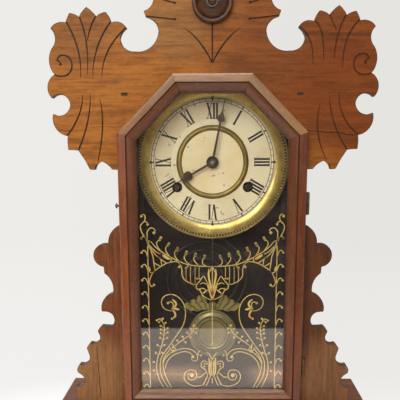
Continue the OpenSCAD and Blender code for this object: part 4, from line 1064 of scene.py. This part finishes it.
SIDE_LINE_U = 76.8
HOOK_STEP, HOOK_COUNT, HOOK_TOP = 16.7, 12, 265.5
GILT_LINES = [
    [(83.8, 291.7), (81.3, 293.8), (79.1, 290.8), (79.8, 286), (84.2, 281.2), (84.9, 277.6), (82.7, 271),
     (78.7, 265), (76.8, 262)],
    [(79.9, 284.8), (77.6, 284.6), (76.3, 282)],
    [(76.9, 258), (77.1, 268), (77, 272.8), (73.9, 277), (70.3, 277.3), (67.4, 274.6), (69, 272)],
    [(77, 263), (73.5, 261.5), (71, 259.1), (67.6, 255), (60.7, 249.4), (49.7, 243), (42.8, 239.3),
     (32.9, 235), (25.4, 233.2), (16.5, 232.2), (8, 231.6), (0, 231.3)],
    [(62.4, 263.6), (65.4, 261.4), (66, 257.6), (63.8, 253.4), (60.7, 249.7)],
    [(53, 256.6), (55.3, 254.4), (55.2, 250.7), (52.7, 246.2), (49.8, 242.8)],
    [(42.2, 251.4), (44.8, 249), (44.8, 245.4), (42.8, 241.2), (39, 237.4)],
    [(31.3, 246.8), (33.4, 243.4), (32.6, 239.6), (29.9, 236.2), (26.6, 233.8)],
    [(20.1, 244.4), (22.2, 241.6), (20.8, 237.6), (16.8, 233.2)],
    [(9.6, 242.2), (12, 238), (10.6, 233.8), (6, 231.6)],
    [(75.5, 257), (68.6, 246.7), (63.6, 242.2), (59.7, 239.2), (55.7, 236.4), (52.7, 235.4)],
    [(74.5, 257), (69.4, 251.4), (65.4, 248.2), (61.4, 246.4)],
    [(75, 255), (71.8, 247), (70.3, 241.2), (69.6, 234.2), (68.6, 227.8)],
    [(66.1, 244.7), (61.6, 239.9), (60.4, 233.2)],
    [(69.4, 236), (66, 233.8), (62.6, 232.2)],
    [(75.4, 213), (74.1, 217.8), (71.6, 223.3), (67.6, 227.3), (60.7, 232.2), (53.7, 235.7), (47.8, 237.2),
     (42.8, 237.4), (38.8, 235)],
    [(49.8, 243), (48.8, 239.4), (50.7, 236.6)],
    [(76.5, 226.8), (73.1, 223.8), (70.1, 224.8), (68.1, 228.3)],
    [(76.8, 222), (76, 215), (74.8, 209.6), (72.6, 207.1), (70.1, 208.8)],
    [(39.5, 231.5), (37.9, 233.6), (36.3, 228), (36.3, 221.4), (33.5, 215.8), (29, 212.6), (23, 210),
     (18.4, 210.2)],
    [(31.2, 230), (29.2, 231.8), (29, 234)],
    [(0, 190), (3.6, 191.7), (7.6, 193.7), (11.7, 196.8), (14.7, 202.4), (17.8, 204), (19.4, 206.5),
     (18.3, 210.1), (15.2, 213.7), (12.7, 217.2), (10.2, 219.8), (7.6, 215.2), (5.6, 211.6), (3.6, 207),
     (1.3, 200.9), (0, 196.3)],
    [(14.7, 210.1), (11.7, 211.6), (8.7, 211.1), (5.6, 209.2)],
    [(16.2, 204), (12.7, 205), (9.7, 204.5), (7.1, 201.9)],
    [(3.8, 224), (2.2, 227), (0.4, 230.6)],
    [(54.6, 79.6), (58.7, 86), (62, 92.5), (63.8, 99), (64.3, 106), (63.8, 114), (60.6, 122), (53.3, 132.5),
     (45.2, 144.2), (37.6, 155.4), (33.9, 164), (32.5, 172.5), (32.9, 180.1), (34.8, 186.3), (38.5, 192),
     (44.1, 196.3), (50.2, 197.7), (56.2, 196.3), (60, 192.9), (61.4, 188.2), (60.4, 183.4), (58.1, 180.1),
     (54.4, 178.2), (49.5, 177)],
    [(49.3, 179.2), (47.4, 182.5), (47.4, 185.8), (49.3, 188.2), (52.1, 188.2), (53.7, 186.6)],
    [(60.5, 108), (61, 113), (58.2, 120), (54, 126), (50.4, 131)],
    [(60.5, 79.6), (63.4, 85.2), (66.3, 92), (68.2, 98.6), (68.8, 105), (68.4, 111.5), (66.8, 119.6),
     (64.6, 125.6), (62.3, 133.5), (60, 141.5), (58.8, 150), (58.3, 156), (59.2, 160.5), (61, 164),
     (63, 165.2), (64.9, 163)],
    [(60.4, 163.2), (61.6, 166.6), (64.2, 167.2), (67.2, 165.6)],
    [(46, 133), (40.9, 137.4), (34.3, 142.1), (27.4, 147.3), (23.6, 152.6), (22.4, 158)],
    [(53.3, 132.5), (50.2, 136.2), (46.5, 131.5), (44.8, 128.3), (47.8, 125.2), (51, 129), (53.3, 132.5)],
    [(50.6, 79.6), (54.4, 87), (57.2, 93), (59.2, 99.5), (60.6, 106), (60.4, 111.5), (57.4, 118), (50, 125),
     (44.3, 127.6), (36.2, 129.8), (29, 129.4), (23.1, 127.2), (19.5, 123.4), (18, 119.1), (18.6, 115.3),
     (21.6, 113.9), (25, 115.4), (25.6, 118), (23.8, 119.8)],
    [(57.8, 104), (56.8, 110.4), (53.6, 116), (48.4, 121), (43, 123.6), (36.2, 125.8), (29.6, 125.4),
     (25.4, 122.6), (24.2, 120.4)],
    [(18.2, 121), (16.9, 125), (14.8, 127.8)],
    [(17.8, 122.2), (14, 121.4)],
    [(0, 115.8), (4.2, 123.4), (7, 125)],
    [(4.9, 112), (9.7, 114.2), (12.7, 113.1), (13.8, 108.8), (13.2, 106), (9.6, 103.9), (7.5, 100.1),
     (5.4, 96.3)],
    [(7.5, 99.5), (11, 96.3), (14.8, 93.5), (19.2, 93.4)],
    [(5.6, 95.4), (9.2, 87.4), (12.4, 82.4)],
    [(2.9, 93.6), (5.6, 85.6), (7.6, 82)],
    [(8.5, 84.6), (14.3, 82.2), (21, 81.4), (27.2, 83.3), (32.4, 87.1), (35, 93), (33.5, 99), (29.8, 101.9),
     (24.6, 102.5), (20.6, 100.6), (19.4, 96.3), (20.6, 91.6), (25, 89.4), (29, 91), (30, 95.2), (28, 98.6)],
]
GILT_LEAVES = [
    (2.3, [(48.8, 191.5), (45.5, 189.1), (43.9, 186.3), (44.8, 183), (47.4, 179.6)]),
    (2.6, [(47.4, 180.2), (43.2, 179.6), (39.7, 178.7)]),
    (2.2, [(48.5, 178.5), (46, 176), (44.9, 173), (45.3, 170.1), (48.6, 167.6)]),
    (1.5, [(20, 217.2), (16.6, 217), (13.2, 216.7)]),
    (2.3, [(0, 196), (1.2, 205), (3.2, 213), (4.3, 221), (4.2, 229)]),
    (1.8, [(0.6, 191.5), (2.6, 199), (4.8, 206.5), (6.6, 213.5)]),
    (1.8, [(11.2, 198.6), (8.2, 201.2), (5.2, 203.4)]),
    (2.6, [(77, 262.5), (75.8, 257), (73.6, 252.6)]),
    (3.0, [(59.6, 245.6), (55, 242.6), (50.6, 240)]),
    (2.4, [(76.3, 231.5), (75.2, 228.4), (74.6, 225.8)]),
    (1.6, [(4.9, 109.9), (8, 110.7), (11, 110.4)]),
    (2.0, [(4.4, 118.5), (3.4, 112), (3.8, 106), (3.6, 100), (1.6, 93.4)]),
    (1.5, [(1.2, 114.6), (1.5, 108), (1.3, 101), (0.6, 95)]),
]
HARP_STRINGS = [(31.4, 231.5, 214.2), (26.1, 231.5, 211.6), (20.6, 231.5, 211), (15.7, 231.5, 218.4)]
MIDDLE_LINES = [[(0, 231.5), (0, 188)], [(0, 188.8), (0, 134.2)], [(0, 92), (0, 85)]]
GILT_BALLS = [(83.6, 291.2, 1.5), (76.3, 281.6, 1.4), (69, 271.8, 1.7), (84.2, 265.3, 1.4), (70, 209.2, 1.4),
              (39.5, 231, 1.4), (31.4, 230, 1.3), (18.4, 216.9, 1.4), (14.7, 204.3, 1.2), (0, 189.6, 1.8),
              (23.8, 119.4, 1.8), (25.3, 95.6, 2.5), (7.4, 110.4, 1.2), (9.8, 107.2, 1.1),
              (13.8, 121.3, 1.2), (53.6, 187, 1.5), (49, 167.6, 1.3), (22.4, 159, 1.6), (72.2, 112.7, 1.4),
              (72.2, 101.6, 1.4), (47.9, 131.5, 1.5), (47.8, 128, 1.1), (64.9, 163, 1.2), (67.4, 165.4, 1.3),
              (60, 167.6, 1.3)]
GILT_BUDS = [((60.9, 266), (62.4, 263.4)), ((51.4, 259), (53, 256.6)), ((41.2, 253.6), (42.2, 251.2)),
             ((30.5, 249.2), (31.3, 246.8)), ((19.8, 246.6), (20.1, 244.4)), ((9.2, 244.2), (9.6, 242.2))]
GILT_BERRIES = [((69.5, 124.3), (65.9, 121.6)), ((61.6, 124.6), (65.6, 122)), ((67.2, 134.4), (62.9, 131.4)),
                ((58.5, 134.4), (62.6, 132)), ((63.9, 143.5), (60.4, 140.2)), ((55, 143.5), (60, 141)),
                ((63, 149.4), (59.2, 146.6)), ((54.6, 150.2), (59, 147.4)), ((62.8, 154), (58.6, 152)),
                ((54.4, 155.6), (58.5, 153)), ((62.8, 158.4), (58.5, 156)), ((56.9, 162.3), (58.9, 160)),
                ((43, 140.2), (40.6, 137.6)), ((36.4, 145), (34.4, 142)), ((30.6, 150), (28.4, 146.6)),
                ((26, 154.9), (25, 150.8)), ((32.5, 137.8), (36, 140.9)), ((26.4, 144), (29.6, 145.6)),
                ((19.9, 150.2), (24.6, 151.4)), ((19.4, 155.4), (22.9, 154.6))]
SIDE_LINE = [(SIDE_LINE_U, 265), (SIDE_LINE_U, 79.5)]
HOOK_LINE = [(0, -8.5), (0.8, -3.6), (2.8, 1.1), (5.2, 2.0), (7.3, 0.0)]
HOOK_BALL, HOOK_BALL_R = (7.4, -0.6), 1.35
BUD_R, BERRY_R = 1.5, 1.35
GILT_DEPTHS = (GLASS_BACK_Y + 0.02, GLASS_BACK_Y + 0.07)


def gild(relief, line, widths=(), balls=(), count=14):
    """One painted line and its mirror image, with balls of given radii on its first points."""
    for side in (1, -1):
        half = [(side * u, z) for u, z in line]
        if widths:
            relief.stroke(smooth_line(half), *widths)
        for point, radius in zip(half, balls):
            relief.disc(point, radius, count)


class CLOCK_OT_gilding(bpy.types.Operator):
    """Gold ornament painted on the back of the lower glass"""

    bl_idname = "clock.gilding"
    bl_label = "Gilding"

    def execute(self, context):
        gold = gilding("gold_paint", *tones(context, "clock_glass", "gold", "orange"))
        width = context.scene.clock_glass.line / MM
        thin = width * 0.6
        relief = Relief(*GILT_DEPTHS)
        for line in GILT_LINES:
            gild(relief, line, (thin, width, thin))
        for u, top, foot in HARP_STRINGS:
            gild(relief, [(u, top), (u, foot)], (thin,) * 3)
        gild(relief, SIDE_LINE, (width,) * 3)
        for line in MIDDLE_LINES:
            relief.stroke(line, width, width, width * 0.7)
        for broad, line in GILT_LEAVES:
            gild(relief, line, (width * 0.8, broad, width * 0.5))
        for *point, radius in GILT_BALLS:
            gild(relief, [point], balls=[radius])
        for bud in GILT_BUDS:
            gild(relief, bud, (BUD_R * 2,) * 3, (BUD_R, BUD_R))
        for berry in GILT_BERRIES:
            gild(relief, berry, (thin,) * 3, (BERRY_R,), 10)
        give(new_piece("gilt_ornament", relief.mesh("gilt_ornament")), gold, "door", "glass")
        for name, side in (("gilt_hooks_right", 1), ("gilt_hooks_left", -1)):
            relief = Relief(*GILT_DEPTHS)
            hook = smooth_line([(side * u, z) for u, z in HOOK_LINE])
            relief.stroke(hook, thin, width, width * 0.8)
            relief.disc((side * HOOK_BALL[0], HOOK_BALL[1]), HOOK_BALL_R)
            repeated(name, relief.mesh(name), gold, "glass", "door", Count=HOOK_COUNT,
                     Step=(0, 0, -HOOK_STEP * MM), Centre=(side * SIDE_LINE_U * MM, 0, HOOK_TOP * MM))
        return {"FINISHED"}


# Stage


PHOTO_SIZE = 400
FOCAL_PX = 748.56
AXIS_ROW = 329.7
CAMERA_PLACE = (3.9, -926.9, 376.0)
PITCH, YAW, ROLL = 0.246, 0.0213, 0.0038
FLOOR_FRONT_Y = -664.0
FLOOR_BACK_Y = 2600
FLOOR_HALF = 3000
DIM_FRONT_Y = -4200
DIM_HALF = 3200
# What the glass and the brass mirror on the table: a pale streak, and a bright line left of the middle
STREAK_Y = (-430.0, -360.0, -335.0, -290.0)
LINE_NEARER = 352.0
LAMP_AIM = Vector((0, 0, 0.3))
LAMPS = {"key": ((-0.6, -2.4, 1.35), 1.6), "fill": ((1.5, -1.7, 0.9), 1.2), "top": ((-0.1, -0.2, 1.7), 1.1),
         "rear": ((-1.5, 1.5, 1.5), 1.6)}


class CLOCK_OT_stage(bpy.types.Operator):
    """Pale floor, studio light and the camera"""

    bl_idname = "clock.stage"
    bl_label = "Stage"

    def execute(self, context):
        settings = context.scene.clock_stage
        self.camera(context)
        context.scene.world = self.world(*tones(context, "clock_stage", "backdrop"), settings.room)
        paper = self.sweep_finish(*tones(context, "clock_stage", "near_left", "far_left", "near_right",
                                         "far_right", "table"))
        depths = (FLOOR_FRONT_Y, FLOOR_BACK_Y)
        self.card("floor", FLOOR_HALF, depths, (0, 0), paper)
        self.card("backdrop", FLOOR_HALF, (FLOOR_BACK_Y, FLOOR_BACK_Y), (0, 3200), paper)
        self.dark_cards()
        for name, (place, size) in LAMPS.items():
            self.lamp(name, Vector(place), size, getattr(settings, name))
        context.scene.view_settings.view_transform = "Standard"
        return {"FINISHED"}

    def camera(self, context):
        data = bpy.data.cameras.new("camera")
        data.sensor_width = 36.0
        data.lens = FOCAL_PX * data.sensor_width / PHOTO_SIZE
        data.shift_y = (AXIS_ROW - PHOTO_SIZE / 2) / PHOTO_SIZE
        data.clip_start, data.clip_end = 0.05, 50.0
        camera = new_piece("camera", data)
        turn = Matrix.Rotation(YAW, 4, "Z") @ Matrix.Rotation(math.pi / 2 - PITCH, 4, "X")
        place = Matrix.Translation(Vector(CAMERA_PLACE) * MM)
        camera.matrix_world = place @ turn @ Matrix.Rotation(-ROLL, 4, "Z")
        context.scene.camera = camera

    def world(self, pale, room):
        """Even light from all round, which the camera sees as pale paper and the metal mirrors dimmer."""
        finish = Finish("studio", "World")
        light, shown = (finish.glow(pale, strength, "ShaderNodeBackground") for strength in (room, 1.0))
        share = math_of("MAXIMUM", finish.ray("Camera"), finish.ray("Glossy") * 0.4)
        return finish.done(finish.blend(share, light, shown))

    def sweep_finish(self, near_left, far_left, near_right, far_right, table):
        """Pale paper, brighter at the left and near the clock, which glows so that only contact shades it.
        In the glass and the metal it is a warm table."""
        finish = Finish("sweep_paper")
        x, y, _ = finish.parts()
        far = step(y, 100.0, 2400.0)
        aside = step(x / (y - CAMERA_PLACE[1]), -0.24, 0.16)
        tone = mix(mix(near_left, far_left, far), mix(near_right, far_right, far), aside)
        near = finish.length(finish.place() * (1.0, 1.6, 0.0))
        glowing = finish.ray("Camera") * (0.5 + step(near, 230.0, 500.0) * 0.5)
        shown = finish.blend(glowing, finish.principled(tone * 0.8, 0.9, gloss=0.1), finish.glow(tone))
        streak = step(y, *STREAK_Y[:2]) * fall(y, *STREAK_Y[2:])
        streak = streak * step(absolute(x - 22.0), 22.0, 60.0)
        line = fall(absolute(y + LINE_NEARER), 5.0, 11.0) * fall(x, -30.0, -10.0)
        share = math_of("MAXIMUM", streak * 0.6, line * step(x, -130.0, -90.0))
        warm = finish.blend(share, finish.glow(table, 1.5), finish.glow(srgb(255, 214, 184), 3.4))
        mirrored = finish.ray("Glossy") * fall(y, -260.0, -120.0) * fall(absolute(x), 240.0, 420.0)
        return finish.done(finish.blend(mirrored, shown, warm))

    def card(self, name, half, along, height, material):
        """A flat card, as wide as half to each side, between two depths and two heights."""
        shape = bmesh.new()
        (front, back), (foot, top) = along, height
        corners = [(-half, front, foot), (half, front, foot), (half, back, top), (-half, back, top)]
        shape.faces.new([shape.verts.new(Vector(c) * MM) for c in corners])
        obj = new_piece(name, mesh_of(shape, name))
        cover(obj, material)
        return obj

    def dark_cards(self):
        """The dim room in front of the clock, which only shows mirrored in the glass and the metal."""
        finish = Finish("dim_room")
        dim = mix(srgb(78, 70, 64), srgb(120, 108, 96), step(finish.cloud(0.0012), 0.35, 0.7))
        material = finish.done(finish.glow(dim))
        for dark in (self.card("dim_floor", DIM_HALF, (DIM_FRONT_Y, FLOOR_FRONT_Y), (2, 2), material),
                     self.card("dim_wall", DIM_HALF, (DIM_FRONT_Y, DIM_FRONT_Y), (2, 2600), material)):
            for ray in ("camera", "diffuse", "shadow", "transmission"):
                setattr(dark, f"visible_{ray}", False)

    def lamp(self, name, place, size, power):
        data = bpy.data.lights.new(name, "AREA")
        data.size = size
        data.energy = power
        lamp = new_piece(name, data)
        lamp.location = place
        lamp.rotation_euler = (LAMP_AIM - place).to_track_quat("-Z", "Y").to_euler()


class CLOCK_PT_panel(bpy.types.Panel):
    """Lists the pieces of the clock"""

    bl_idname = "CLOCK_PT_panel"
    bl_label = "Gingerbread clock"
    bl_space_type = "VIEW_3D"
    bl_region_type = "UI"
    bl_category = "Clock"

    def draw(self, context):
        for name, group in SETTINGS.items():
            box = self.layout.box()
            for field in group.__annotations__:
                box.prop(getattr(context.scene, name), field)
        for operator in OPERATORS:
            self.layout.operator(operator.bl_idname)


OPERATORS = [CLOCK_OT_crest, CLOCK_OT_case, CLOCK_OT_door, CLOCK_OT_hardware, CLOCK_OT_dial, CLOCK_OT_print,
             CLOCK_OT_hands, CLOCK_OT_movement, CLOCK_OT_gong, CLOCK_OT_pendulum, CLOCK_OT_gilding,
             CLOCK_OT_stage]
CLASSES = [*SETTINGS.values(), *OPERATORS, CLOCK_PT_panel]


def register():
    for kind in CLASSES:
        bpy.utils.register_class(kind)
    for name, kind in SETTINGS.items():
        setattr(bpy.types.Scene, name, bpy.props.PointerProperty(type=kind))


def unregister():
    for name in SETTINGS:
        delattr(bpy.types.Scene, name)
    for kind in reversed(CLASSES):
        bpy.utils.unregister_class(kind)


def main():
    register()
    for operator in OPERATORS:
        getattr(bpy.ops.clock, operator.bl_idname.split(".")[1])()


if __name__ == "__main__":
    main()
